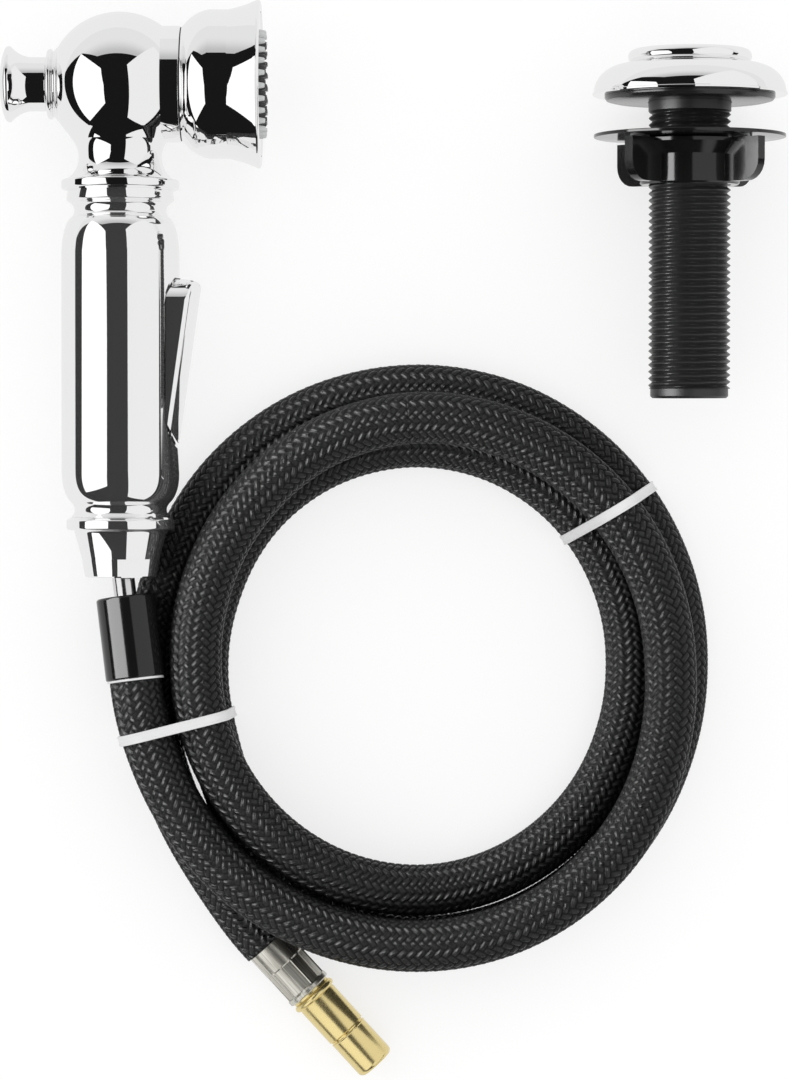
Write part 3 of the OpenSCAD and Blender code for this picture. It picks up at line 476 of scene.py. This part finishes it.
# Handling marks on metal: cloudy patches of haze and the finest scratches
handled, given, out = effect("handled_metal", {"Polish": 0.04, "Haze": 0.05}, ("Roughness", "Height"))
cloud = step_up(handled, noise(handled, 45.0), 0.35, 0.75)
speck = step_up(handled, noise(handled, 1400.0, 2.0), 0.5, 0.8)
haze = maths(handled, "MULTIPLY", given["Haze"], maths(handled, "MULTIPLY_ADD", speck, 0.4, cloud))
handled.links.new(maths(handled, "ADD", given["Polish"], haze), out["Roughness"])
handled.links.new(maths(handled, "MULTIPLY_ADD", speck, 0.3, cloud), out["Height"])


def metal(name, colour, polish, haze, ripple, **sockets):
    """A metal finish: polish is its roughness where clean, haze what handling adds, ripple its relief in
    metres."""
    material, tree, shader = finish(name, colour, polish, 1.0, **sockets)
    marks = add(tree, "Group", {}, node_tree=handled)
    marks.inputs["Polish"].default_value = polish
    marks.inputs["Haze"].default_value = haze
    tree.links.new(marks.outputs["Roughness"], shader["Roughness"])
    bump = add(tree, "Bump", {"Height": marks.outputs["Height"], "Distance": ripple, "Strength": 1.0})
    tree.links.new(bump.outputs["Normal"], shader["Normal"])
    return material


def coat(material, *nodes):
    """Gives the finish to CAD nodes that stay as they are."""
    for node in nodes:
        for place in frame["nodes"][node].material_slots:
            place.material = material


def axes(origin, along):
    """A place to draw in: its origin, and rows for the two directions across and the one along its axis. The
    first direction is level."""
    along = unit(along)
    side = unit(np.cross((0, 0, 1), along))
    return np.array(origin, float), np.array([side, np.cross(along, side), along])


def put(place, points):
    """Points drawn in a place, as points of the object."""
    return place[0] + np.asarray(points, float) @ place[1]


def turned(place, profile, sides=128):
    """Rows of points of a turned shape: the profile's radius and distance along the axis, carried round
    it."""
    profile = np.asarray(profile, float)
    turn = np.arange(sides) * 2 * pi / sides
    x, y = profile[:, :1] * np.cos(turn), profile[:, :1] * np.sin(turn)
    return put(place, np.stack([x, y, np.broadcast_to(profile[:, 1:], x.shape)], -1))


def arc(middle, radius, start, end, steps=16):
    """Points along an arc, from one angle to another in degrees."""
    turn = np.radians(np.linspace(start, end, steps + 1))
    return [(middle[0] + radius * cos(t), middle[1] + radius * sin(t)) for t in turn]


def bow(start, pull, end, steps=20):
    """Points along the curve from start to end that heads for pull and then turns away from it. Each is the
    mean of the three: start and end count by the squares of what is left and what is done of the way, and
    pull by twice their product."""
    t = np.linspace(0, 1, steps + 1)[:, None]
    points = (1 - t) ** 2 * np.array(start) + 2 * t * (1 - t) * np.array(pull) + t * t * np.array(end)
    return [tuple(point) for point in points]


nickel = metal("satin_nickel", (0.60, 0.585, 0.52), 0.26, 0.10, 0.00001)
tree = nickel.node_tree
where = add(tree, "TexCoord").outputs["Object"]
spun = {"Vector": where, "Rotation": (0, 0, HOSE_END_TURN), "Scale": (30, 1, 1)}
drawn = add(tree, "Mapping", spun, vector_type="TEXTURE").outputs[0]
drawn = add(tree, "TexNoise", {"Vector": drawn, "Scale": 1800.0, "Detail": 3.0}).outputs[0]
streaks = blended(tree, step_up(tree, drawn, 0.35, 0.65), (0.46, 0.445, 0.39, 1), (0.74, 0.725, 0.655, 1))
tree.links.new(streaks, tree.nodes["Principled BSDF"].inputs["Base Color"])
brass = metal("turned_brass", (0.85, 0.70, 0.33), 0.2, 0.10, 0.000006, Metallic=0.93)
fitting = axes(HOSE_END, (cos(HOSE_END_TURN), sin(HOSE_END_TURN), 0))


def jaw_marks(z, turn):
    """Radius of the crimp where a jaw has pressed it flat, cos of half a jaw over cos of the angle from the
    jaw's middle, with a ridge between two jaws."""
    pitch = 2 * pi / CRIMP_SIDES
    off = np.mod(turn - radians(CRIMP_TURN) + pi / 2, pitch) - pitch / 2
    ridge = CRIMP_RIDGE[0] * np.exp(-((pitch / 2 - abs(off)) / CRIMP_RIDGE[1]) ** 2)
    return FERRULE_R * cos(pitch / 2) / np.cos(off) - 0.05 + ridge + 0 * z


z, round_r = (np.array(FERRULE)[:, k, None] for k in (0, 1))
turn = np.arange(360)[None, :] * 2 * pi / 360
radius = np.where(round_r > 0, round_r, jaw_marks(z, turn))
grid = np.stack([radius * np.cos(turn), radius * np.sin(turn), z + 0 * turn], -1)
sleeve = shell(put(fitting, grid), "ring")
crimped = piece("crimped_ferrule", "hose", nickel, [sleeve], 20, ("end_ferrule",))


def turned_piece(name, body, look, place, profile, node, sides=160, crease=26):
    """A turned piece with a bore, which stands for a CAD node."""
    return piece(name, body, look, [shell(turned(place, profile, sides), "ring")], crease, (node,))


PLUG = FERRULE_LEN
PLUG_R = 6.15
PLUG_END = 48.4
GROOVE = PLUG + 16.4
profile = (
    [(FERRULE_BORE, PLUG), (PLUG_R + 0.15, PLUG), (PLUG_R + 0.15, PLUG + 0.7)]
    + arc((PLUG_R, PLUG + 1.95), 1.0, -90, 90, 14)
    + [(PLUG_R, PLUG + 3.1), (PLUG_R + 0.1, PLUG + 3.5), (PLUG_R + 0.1, GROOVE - 0.55)]
    + [(PLUG_R - 0.05, GROOVE - 0.4), (PLUG_R - 0.35, GROOVE - 0.2), (PLUG_R - 0.35, GROOVE + 0.2)]
    + [(PLUG_R + 0.05, GROOVE + 0.35), (PLUG_R + 0.1, GROOVE + 0.55), (PLUG_R - 0.05, GROOVE + 0.8)]
    + [(PLUG_R - 0.05, PLUG_END - 1.5), (PLUG_R - 0.15, PLUG_END - 0.9), (PLUG_R - 0.55, PLUG_END - 0.4)]
    + [(PLUG_R - 1.0, PLUG_END - 0.05), (3.9, PLUG_END), (FERRULE_BORE, PLUG_END - 0.4)]
)
connector = turned_piece(
    "turned_connector", "hose", brass, fitting, profile, "brass_connector", crease=30
)


# ---- Ties ----
# Two flat ties of soft white plastic hold the coil together. Each is pulled tight round the strands and has a
# low rim along both edges.

white = plastic("white_plastic", (0.80, 0.80, 0.80), (0.86, 0.86, 0.86), 0.35, 500.0, 0.00002)
TIE_W = 3.0
TIE_T = 0.9
TIE_MIDDLE = 79.0       # distance from the coil's middle at which a tie is set askew
# For each tie: degrees round the coil, degrees askew, and the strands in it by radius and height
TIES = {
    "upper": (38, -7, [(64.8, 7.6), (80.2, 7.6), (73.7, 21.4)]),
    "lower": (194, 0, [(64.4, 7.6), (80.8, 7.6), (82.4, 23.7), (65.4, 22.8)]),
}


def band(turns, steps=240):
    """Rows of points of a band pulled tight round hose strands: in each direction across them it lies on the
    strand that reaches furthest, and on the table it runs flat. Each row is its section: flat, with a low rim
    along both edges."""
    turn = np.arange(steps) * 2 * pi / steps
    out = np.stack([np.cos(turn), np.sin(turn)], 1)
    middles = np.array(turns)[np.argmax(out @ np.array(turns).T, 1)]
    half = TIE_W / 2
    section = np.array([
        (0.0, -half), (0.0, half), (0.7, half), (0.9, half - 0.2), (0.9, half - 0.5), (0.7, half - 0.8),
        (0.7, 0.8 - half), (0.9, 0.5 - half), (0.9, 0.2 - half), (0.7, -half),
    ])
    reach = HOSE_D / 2 + section[:, 0] * TIE_T / 0.9
    flat = middles[:, None] + reach[None, :, None] * out[:, None]
    flat[..., 1] = np.maximum(flat[..., 1], 0.05 + 0.5 * (section[:, 0] == 0))
    width = np.broadcast_to(section[:, 1], flat.shape[:2])
    return np.stack([flat[..., 0], width, flat[..., 1]], -1)


for label, (round_to, yaw, turns) in TIES.items():
    rows = band(turns) - (TIE_MIDDLE, 0, 0)
    for turn, shift in ((yaw, TIE_MIDDLE), (round_to, 0.0)):
        t = radians(turn)
        spin = np.array([(cos(t), sin(t), 0), (-sin(t), cos(t), 0), (0, 0, 1)])
        rows = rows @ spin + (shift, 0, 0)
    rows = rows + (*COIL_MIDDLE, 0)
    piece("tie_band_" + label, "hose", white, [shell(rows, "ring")], 30, ("tie_" + label,))


# ---- Sleeve nut and swivel ----
# The hose's upper end: a black plastic nut over the crimp, a white washer, and a nickel-plated stub whose
# ball sits in a plastic socket in the tail nut.

SWIVEL_AT = np.array((-80.0, -62.0, 22.2))


def eased(name, node, body, material, width, cuts=(), shape=None):
    """A copy of a CAD node with its edges rounded to a width in mm: its points are joined, flat faces are
    made whole, and a bevel runs along what is left. cuts are planes that divide it, for shape to bend its
    points."""
    mesh = frame["nodes"][node].data.copy()
    mesh.materials.clear()
    work = bmesh.new()
    work.from_mesh(mesh)
    bmesh.ops.remove_doubles(work, verts=work.verts, dist=1e-6)
    bmesh.ops.dissolve_limit(work, angle_limit=radians(1), verts=work.verts, edges=work.edges)
    for at, way in cuts:
        everything = [*work.verts, *work.edges, *work.faces]
        bmesh.ops.bisect_plane(work, geom=everything, dist=1e-7, plane_co=at * MM, plane_no=way)
    work.to_mesh(mesh)
    work.free()
    if shape:
        points = np.empty(len(mesh.vertices) * 3)
        mesh.vertices.foreach_get("co", points)
        mesh.vertices.foreach_set("co", (shape(points.reshape(-1, 3) / MM) * MM).ravel())
    made = settle(name, mesh, body, material, 30, (node,))
    edge = made.modifiers.new("edge", "BEVEL")
    edge.width = width * MM
    edge.segments = 2
    edge.limit_method = "ANGLE"
    edge.angle_limit = radians(30)
    made.modifiers.new("flats", "WEIGHTED_NORMAL").keep_sharp = True
    return made


gloss_black = plastic(
    "gloss_black_plastic", (0.006, 0.006, 0.006), (0.009, 0.009, 0.009), 0.12, 300.0, 0.000004
)
steel = metal("bright_steel", (0.72, 0.72, 0.72), 0.12, 0.08, 0.000004)
eased("black_sleeve_nut", "sleeve_nut", "sleeve", gloss_black, 0.2)
coat(white, "nut_washer", "swivel_socket")
coat(steel, "swivel_stub", "hose_crimp")
coat(rubber, "swivel_seal", "neck_seal", "bell_gasket", "spool_seals")


# ---- Handle ----
# A turned brass barrel under heavy chrome, with rings and grooves at both ends and a milled pocket for the
# lever, whose ends are as round as the mill. The tail nut is screwed on below it and has two spanner flats.

chrome = metal("polished_chrome", (0.95, 0.95, 0.95), 0.012, 0.012, 0.0000012)
handle_chrome = metal("handle_chrome", (0.95, 0.95, 0.95), 0.014, 0.014, 0.0000012, Metallic=0.96)
SWIVEL_REACH = 139.0
RIM_R = 24.65           # the bell's rim, on which the head rests
TILT = asin((RIM_R - SWIVEL_AT[2]) / SWIVEL_REACH)
BALL_AT = SWIVEL_AT + SWIVEL_REACH * np.array((0, cos(TILT), sin(TILT)))
handle = (BALL_AT, np.array([(1, 0, 0), (0, -sin(TILT), cos(TILT)), (0, -cos(TILT), -sin(TILT))]))
BARREL = (31.2, 127.0)
GRIP_R = 17.3
POCKET = (55.9, 107.1)
POCKET_HALF = 10.8
POCKET_FLOOR = 7.95
POCKET_END_R = 9.4
WINDOW = 37             # points across the pocket

profile = np.array(
    [(15.4, BARREL[0])] + arc((15.2, 33.8), 0.6, 0, 60, 6) + arc((16.1, 37.1), 2.6, 245, 122, 24)
    + bow((14.9, 39.6), (16.9, 41.8), (GRIP_R, 49.5)) + [(GRIP_R, POCKET[0])]
    + [(GRIP_R, z) for z in np.linspace(*POCKET, 20)[1:]]
    + bow((GRIP_R, 113), (17.4, 120), (14.3, 122.9)) + arc((15.9, 124.8), 2.4, 215, 140, 10)
    + [(14.4, BARREL[1])]
)
half_turn = asin(POCKET_HALF / GRIP_R)
turn = np.concatenate([
    half_turn * np.sin(np.linspace(-pi / 2, pi / 2, WINDOW)),
    np.linspace(half_turn, 2 * pi - half_turn, 110)[1:-1],
])
x, y = profile[:, :1] * np.cos(turn), profile[:, :1] * np.sin(turn)
grid = np.stack([x, y, np.broadcast_to(profile[:, 1:], x.shape)], -1)
top, bottom = (int(np.argmin(abs(profile[:, 1] - z))) for z in POCKET)
# Along the pocket the rows draw in on its middle, so that its ends are round: by the end's radius less the
# root of its square less the square of how far a point lies out from the end's middle.
side = np.where(np.arange(len(turn)) < WINDOW, abs(GRIP_R * np.sin(turn)), POCKET_HALF)
side = np.clip(POCKET_END_R - POCKET_HALF + side, 0, POCKET_END_R)
drawn_in = POCKET_END_R - np.sqrt(POCKET_END_R ** 2 - side ** 2)
middle = sum(POCKET) / 2
grid[top:bottom + 1, :, 2] -= (grid[top:bottom + 1, :, 2] - middle) * drawn_in / (POCKET[1] - middle)
points, quads, fans = shell(put(handle, grid))
row, column = np.divmod(np.arange(len(quads)), len(turn))
far = WINDOW - 1
outside = (row < top) | (row >= bottom) | (column >= far)
window = np.concatenate([
    grid[top, :WINDOW], grid[top + 1:bottom, far], grid[bottom, far::-1], grid[bottom - 1:top:-1, 0]
])
floor_edge = window * (0, 1, 1) + (POCKET_FLOOR, 0, 0)
pocket = shell(put(handle, np.stack([window, floor_edge])), "last")
barrel = (points, quads[outside], fans)
piece("grip_barrel", "handle", handle_chrome, [barrel, pocket], 30, ("handle_barrel",))

TAIL = (127.02, 144.6)
FLATS = 19.9
FLATS_TURN = 67         # degrees round the handle
FLATS_FROM = TAIL[1] - 5.4
profile = np.array(
    [(14.4, TAIL[0])] + arc((15.2, 128.2), 0.7, -70, 0, 8) + arc((15.2, 130), 0.7, 0, 90, 10)
    + bow((13.8, 130.9), (13.6, 131.1), (13.5, 131.5), 6) + [(11.42, FLATS_FROM), (11.42, FLATS_FROM + 0.02)]
    + [(10.6, 144.2), (10.2, TAIL[1]), (6.3, TAIL[1]), (6.3, TAIL[1] - 1.2)]
)
turn = np.arange(180) * 2 * pi / 180
radius = np.repeat(profile[:, :1], 180, 1)
flat = np.minimum(radius, FLATS / 2 / np.maximum(abs(np.cos(turn - radians(FLATS_TURN))), 0.5))
radius = np.where(profile[:, 1:] > FLATS_FROM + 0.01, flat, radius)
z = np.broadcast_to(profile[:, 1:], radius.shape)
grid = np.stack([radius * np.cos(turn), radius * np.sin(turn), z], -1)
piece("tail_cone", "handle", handle_chrome, [shell(put(handle, grid))], 24, ("tail_nut",))


# ---- Lever and valve ----
# A pressed and chromed thumb lever turns on a steel pin across the pocket. Its boss pushes the valve's rod,
# which a spring returns.

LEVER = (56.8, 106.4)
LEVER_HALF = 10.5
LEVER_END_R = 9.1
LEVER_BLUNT = 0.97      # share of the end's radius at which the tip stops getting narrower


def round_end(points):
    """Rounds the lever's two ends, as seen from its face. Its width shrinks by the end's radius less the root
    of the radius squared less the square of what is left of it."""
    across = (points - handle[0]) @ handle[1].T
    inside = np.minimum(across[:, 2] - LEVER[0], LEVER[1] - across[:, 2])
    left = np.clip(LEVER_END_R - inside, 0, LEVER_END_R * LEVER_BLUNT)
    across[:, 1] *= 1 - (LEVER_END_R - np.sqrt(LEVER_END_R ** 2 - left ** 2)) / LEVER_HALF
    return put(handle, across)


depths = np.linspace(0.3, LEVER_END_R, 16)
slices = [(put(handle, (0, 0, z)), handle[1][2]) for z in (*(LEVER[0] + depths), *(LEVER[1] - depths))]
eased("thumb_lever", "trigger_lever", "lever", handle_chrome, 0.25, slices, round_end)
coat(steel, "lever_pin", "valve_plunger", "valve_spring")
coat(brass, "valve_insert", "diverter_spool")


# ---- Spray head ----
# A chromed brass casting: the ball, the neck with its bead, and the collar that the bell is screwed into. The
# neck runs down to the barrel, with a seal between them.

BALL_R = 21.1
bead = arc((16.6, 28.8), 0.7, -90, 0, 8) + arc((16.6, 30.2), 0.7, 0, 90, 8)
fillet = bow(((BALL_R ** 2 - 13.4 ** 2) ** 0.5, 13.4), (14.75, 15.1), (13.9, 16.6), 12)
profile = (
    [(BALL_R * cos(t), BALL_R * sin(t)) for t in np.radians(np.linspace(-89, 39.2, 96))]
    + fillet + arc((20, 21.4), 7.8, 218, 126, 40) + bead + [(15.8, 30.9), (15.8, BARREL[0])]
)
spray = (BALL_AT, np.array([(0, sin(TILT), -cos(TILT)), (0, cos(TILT), sin(TILT)), (1, 0, 0)]))
knob = (BALL_AT, np.array([(0, -sin(TILT), cos(TILT)), (0, cos(TILT), sin(TILT)), (-1, 0, 0)]))
COLLAR = (17.0, 17.9)
casting = shell(turned(handle, profile, 160))
profile = [(COLLAR[0], 9), (COLLAR[0], COLLAR[1] - 0.2), (COLLAR[0] - 0.2, COLLAR[1])]
collar = shell(turned(spray, profile, 160))
piece("head_casting", "handle", chrome, [casting, collar], 26, ("head_body",))


# ---- Bell, face and nozzles ----
# The bell is spun and chromed. A chrome plate closes it, and a soft clear mat behind the plate stands through
# its holes in four rings of nozzles round the plain outlet.

BELL = (18.3, 41.3)
BELL_R = 21.75
profile = (
    [(9, 10.4), (12, 10.4), (12, BELL[0]), (17, BELL[0])]
    + bow((17.3, BELL[0] + 0.5), (BELL_R - 0.7, BELL[0] + 3.4), (BELL_R, BELL[0] + 8), 30)
    + bow((BELL_R, BELL[0] + 13.4), (BELL_R + 0.8, BELL[0] + 17.6), (RIM_R - 0.3, BELL[1] - 1.5), 24)
    + bow((RIM_R, BELL[1] - 0.9), (RIM_R, BELL[1] - 0.2), (RIM_R - 0.8, BELL[1]), 6)
    + [(21.15, BELL[1]), (21.15, BELL[1] - 2.8), (19.45, BELL[1] - 2.8), (19.45, 24.8), (12, 20.8), (9, 20.8)]
)
turned_piece("spun_bell", "handle", chrome, spray, profile, "spray_bell")
FACE = BELL[1] - 0.3
OUTLET_R = 3.45
profile = [
    (OUTLET_R, FACE - 2.5), (21.05, FACE - 2.5), (21.1, FACE - 2.4), (21.1, FACE - 0.3), (20.8, FACE),
    (OUTLET_R + 0.15, FACE), (OUTLET_R, FACE - 0.15),
]
turned_piece("face_disc", "handle", chrome, spray, profile, "face_plate")

# Painted shade: the rubber is pale in the outer ring and coloured dark in the inner ones, for the shade
# that falls between the nozzles. Its tone changes at a distance from the bell's axis
PAINTED_SHADE_ENDS = (0.0132, 0.0138)
INNER_RINGS_PAINTED_SHADE = (0.03, 0.03, 0.03, 1)
nozzle_rubber = plastic("clear_nozzle_rubber", (0.60, 0.61, 0.61), (0.70, 0.71, 0.71), 0.3, 900.0, 0.000006)
tree = nozzle_rubber.node_tree
shader = tree.nodes["Principled BSDF"].inputs
off = add(tree, "TexCoord").outputs["Object"]
off = add(tree, "VectorMath", {0: off, 1: tuple(BALL_AT * MM)}, operation="SUBTRACT").outputs[0]
off = add(tree, "Mapping", {"Vector": off, "Scale": (0, 1, 1)}).outputs[0]
off = add(tree, "VectorMath", {0: off}, operation="LENGTH").outputs["Value"]
pale = shader["Base Color"].links[0].from_socket
# Painted shade on the inner rings: dark inside the first distance from the axis, pale beyond the second
shade_painted_on_inner_rings = blended(tree, step_up(tree, off, *PAINTED_SHADE_ENDS), INNER_RINGS_PAINTED_SHADE, pale)
tree.links.new(shade_painted_on_inner_rings, shader["Base Color"])

NOZZLES = [(15.0, 25), (11.8, 20), (8.6, 15), (5.6, 10)]    # radius and number of each ring
mat = [(OUTLET_R, FACE - 3.7), (19.4, FACE - 3.7), (19.4, FACE - 2.5), (OUTLET_R, FACE - 2.5)]
nozzles = [shell(turned(spray, mat), "ring")]
profile = [
    (1.0, FACE - 0.3), (0.95, FACE + 0.2), (0.7, FACE + 1.6), (0.55, FACE + 1.85), (0.3, FACE + 1.85),
    (0.25, FACE + 1.1),
]
for ring, count in NOZZLES:
    for turn in np.arange(count) * 2 * pi / count:
        middle = spray[0] + ring * (cos(turn) * spray[1][0] + sin(turn) * spray[1][1])
        nozzles.append(shell(turned((middle, spray[1]), profile, 12)))
piece("rubber_nozzles", "handle", nozzle_rubber, nozzles, 40, ("nozzle_mat",))
coat(steel, "stream_insert")


# ---- Knob ----
# A turned, chromed knob on the end of the diverter's rod, and the beaded gland that the rod slides in. The
# gland is screwed into the ball.

GLAND = (17.2, 21.3)
profile = (
    [(2.55, 12.6), (6.5, 12.6), (6.5, GLAND[0])] + arc((10, 18), 0.8, -90, 90, 16)
    + arc((9.5, 20.4), 0.8, -90, 90, 16) + [(2.55, GLAND[1])]
)
turned_piece("beaded_gland", "handle", chrome, knob, profile, "knob_gland", sides=128)
KNOB = (21.5, 35.0)
profile = (
    [(2.5, KNOB[0]), (7.7, KNOB[0]), (7.9, KNOB[0] + 0.2), (7.9, KNOB[0] + 4.4)]
    + bow((7.9, KNOB[0] + 5), (8.4, KNOB[0] + 8.2), (11, KNOB[0] + 10.5), 24)
    + bow((11.1, KNOB[0] + 10.8), (11.2, KNOB[0] + 11.6), (10.4, KNOB[0] + 12.1), 8)
    + bow((9.7, KNOB[0] + 12.3), (7.5, KNOB[1]), (0.5, KNOB[1]), 20)
)
piece("pull_knob", "knob", chrome, [shell(turned(knob, profile))], 26, ("diverter_knob",))


# ---- Deck guide ----
# The fitting that the sprayer parks in: a chromed cap on a black plastic shank with a coarse thread. Under
# the deck a dished washer and a wing nut draw it tight, and a rubber gasket seals the top.

CAP_R = 28.45
CAP_H = 13.4
CAP_STEP = (18.05, 4.2)
WASHER_R = 28.05        # the washer is a little smaller than the cap, so the shank lies tilted
WASHER_AT = 25.7
GUIDE_TILT = atan((CAP_R - WASHER_R) / (WASHER_AT - CAP_H))
GUIDE_AT = (86.8, 86.6, CAP_R * cos(GUIDE_TILT) + CAP_H * sin(GUIDE_TILT))
guide = (np.array(GUIDE_AT), np.array([
    (1, 0, 0), (0, -sin(GUIDE_TILT), cos(GUIDE_TILT)), (0, -cos(GUIDE_TILT), -sin(GUIDE_TILT))
]))
DOME_R, DOME_H = CAP_R - 0.5 - CAP_STEP[0], CAP_H - 0.9 - CAP_STEP[1]
dome = [
    (CAP_STEP[0] + 0.1 + DOME_R * sin(t), CAP_H - 0.9 - DOME_H * cos(t))
    for t in np.radians(np.linspace(0, 90, 40))
]
profile = (
    [(13.9, 0)] + arc((CAP_STEP[0] - 2.1, 2.1), 2.1, -90, 90, 24) + dome
    + [(CAP_R, CAP_H - 0.7), (CAP_R, CAP_H - 0.2), (CAP_R - 0.3, CAP_H), (13, CAP_H), (13, 6), (12.5, 6)]
)
turned_piece("guide_dome", "hose", chrome, guide, profile, "guide_cap")

THREAD = (18.0, 99.1)
THREAD_PITCH = 2.0
THREAD_DEPTH = 1.05
black_plastic = plastic("black_plastic", (0.013, 0.013, 0.013), (0.022, 0.022, 0.022), 0.38, 700.0, 0.00001)
z = np.arange(THREAD[0], THREAD[1] + 0.01, THREAD_PITCH / 10)
turn = np.arange(96) * 2 * pi / 96
saw = abs(np.mod(z[:, None] / THREAD_PITCH - turn[None, :] / (2 * pi), 1) * 2 - 1)
ends_in = np.clip(np.minimum(z - THREAD[0], THREAD[1] - z) / 0.6, 0, 1)
radius = 12 - THREAD_DEPTH * np.clip(1.2 * saw - 0.1, 0, 1) * ends_in[:, None]
thread = np.stack([radius * np.cos(turn), radius * np.sin(turn), np.repeat(z[:, None], 96, 1)], -1)
start = [(9.5, 14.6), (10.68, 13.8), (12.5, 6), (12.95, 6), (12.95, CAP_H), (12.1, CAP_H), (12.1, THREAD[0])]
end = [(11.4, THREAD[1]), (11.4, 101.2), (10.8, 101.8), (9.5, 101.8)]
rows = np.concatenate([turned(guide, start, 96), put(guide, thread), turned(guide, end, 96)])
piece("threaded_shank", "hose", black_plastic, [shell(rows, "ring")], 40, ("guide_shank",))
profile = [(12.3, CAP_H), (24.8, CAP_H), (24.9, 13.5), (24.9, 14.1), (24.3, 14.9), (22.6, 15.3), (12.3, 15.4)]
soft_black = plastic("glossy_black_rubber", (0.012, 0.012, 0.012), (0.02, 0.02, 0.02), 0.2, 500.0, 0.00001)
turned_piece("deck_gasket", "hose", soft_black, guide, profile, "guide_gasket", sides=128)
eased("dished_washer", "clamp_washer", "clamp", gloss_black, 0.2)
eased("four_wing_nut", "wing_nut", "nut", gloss_black, 0.35)


# ---- What the two clear cards light ----
# Two of the cards are clear and light chosen pieces only: the lamp the black ones, whose weave and grain show
# by its glints, and the end card the fittings on the hose's end with the braid beside them.

DULL = (braid, rubber, gloss_black, black_plastic, soft_black)
finishes = {made: made.material_slots[0].material for made in bpy.data.objects if made.material_slots}
dull = [made for made, look in finishes.items() if look in DULL]
for name, pieces in (("dull_lamp", dull), ("end_card", [crimped, connector, *braids])):
    lit = bpy.data.collections.new(name + "_pieces")
    for made in pieces:
        lit.objects.link(made)
    bpy.data.objects[name].light_linking.receiver_collection = lit
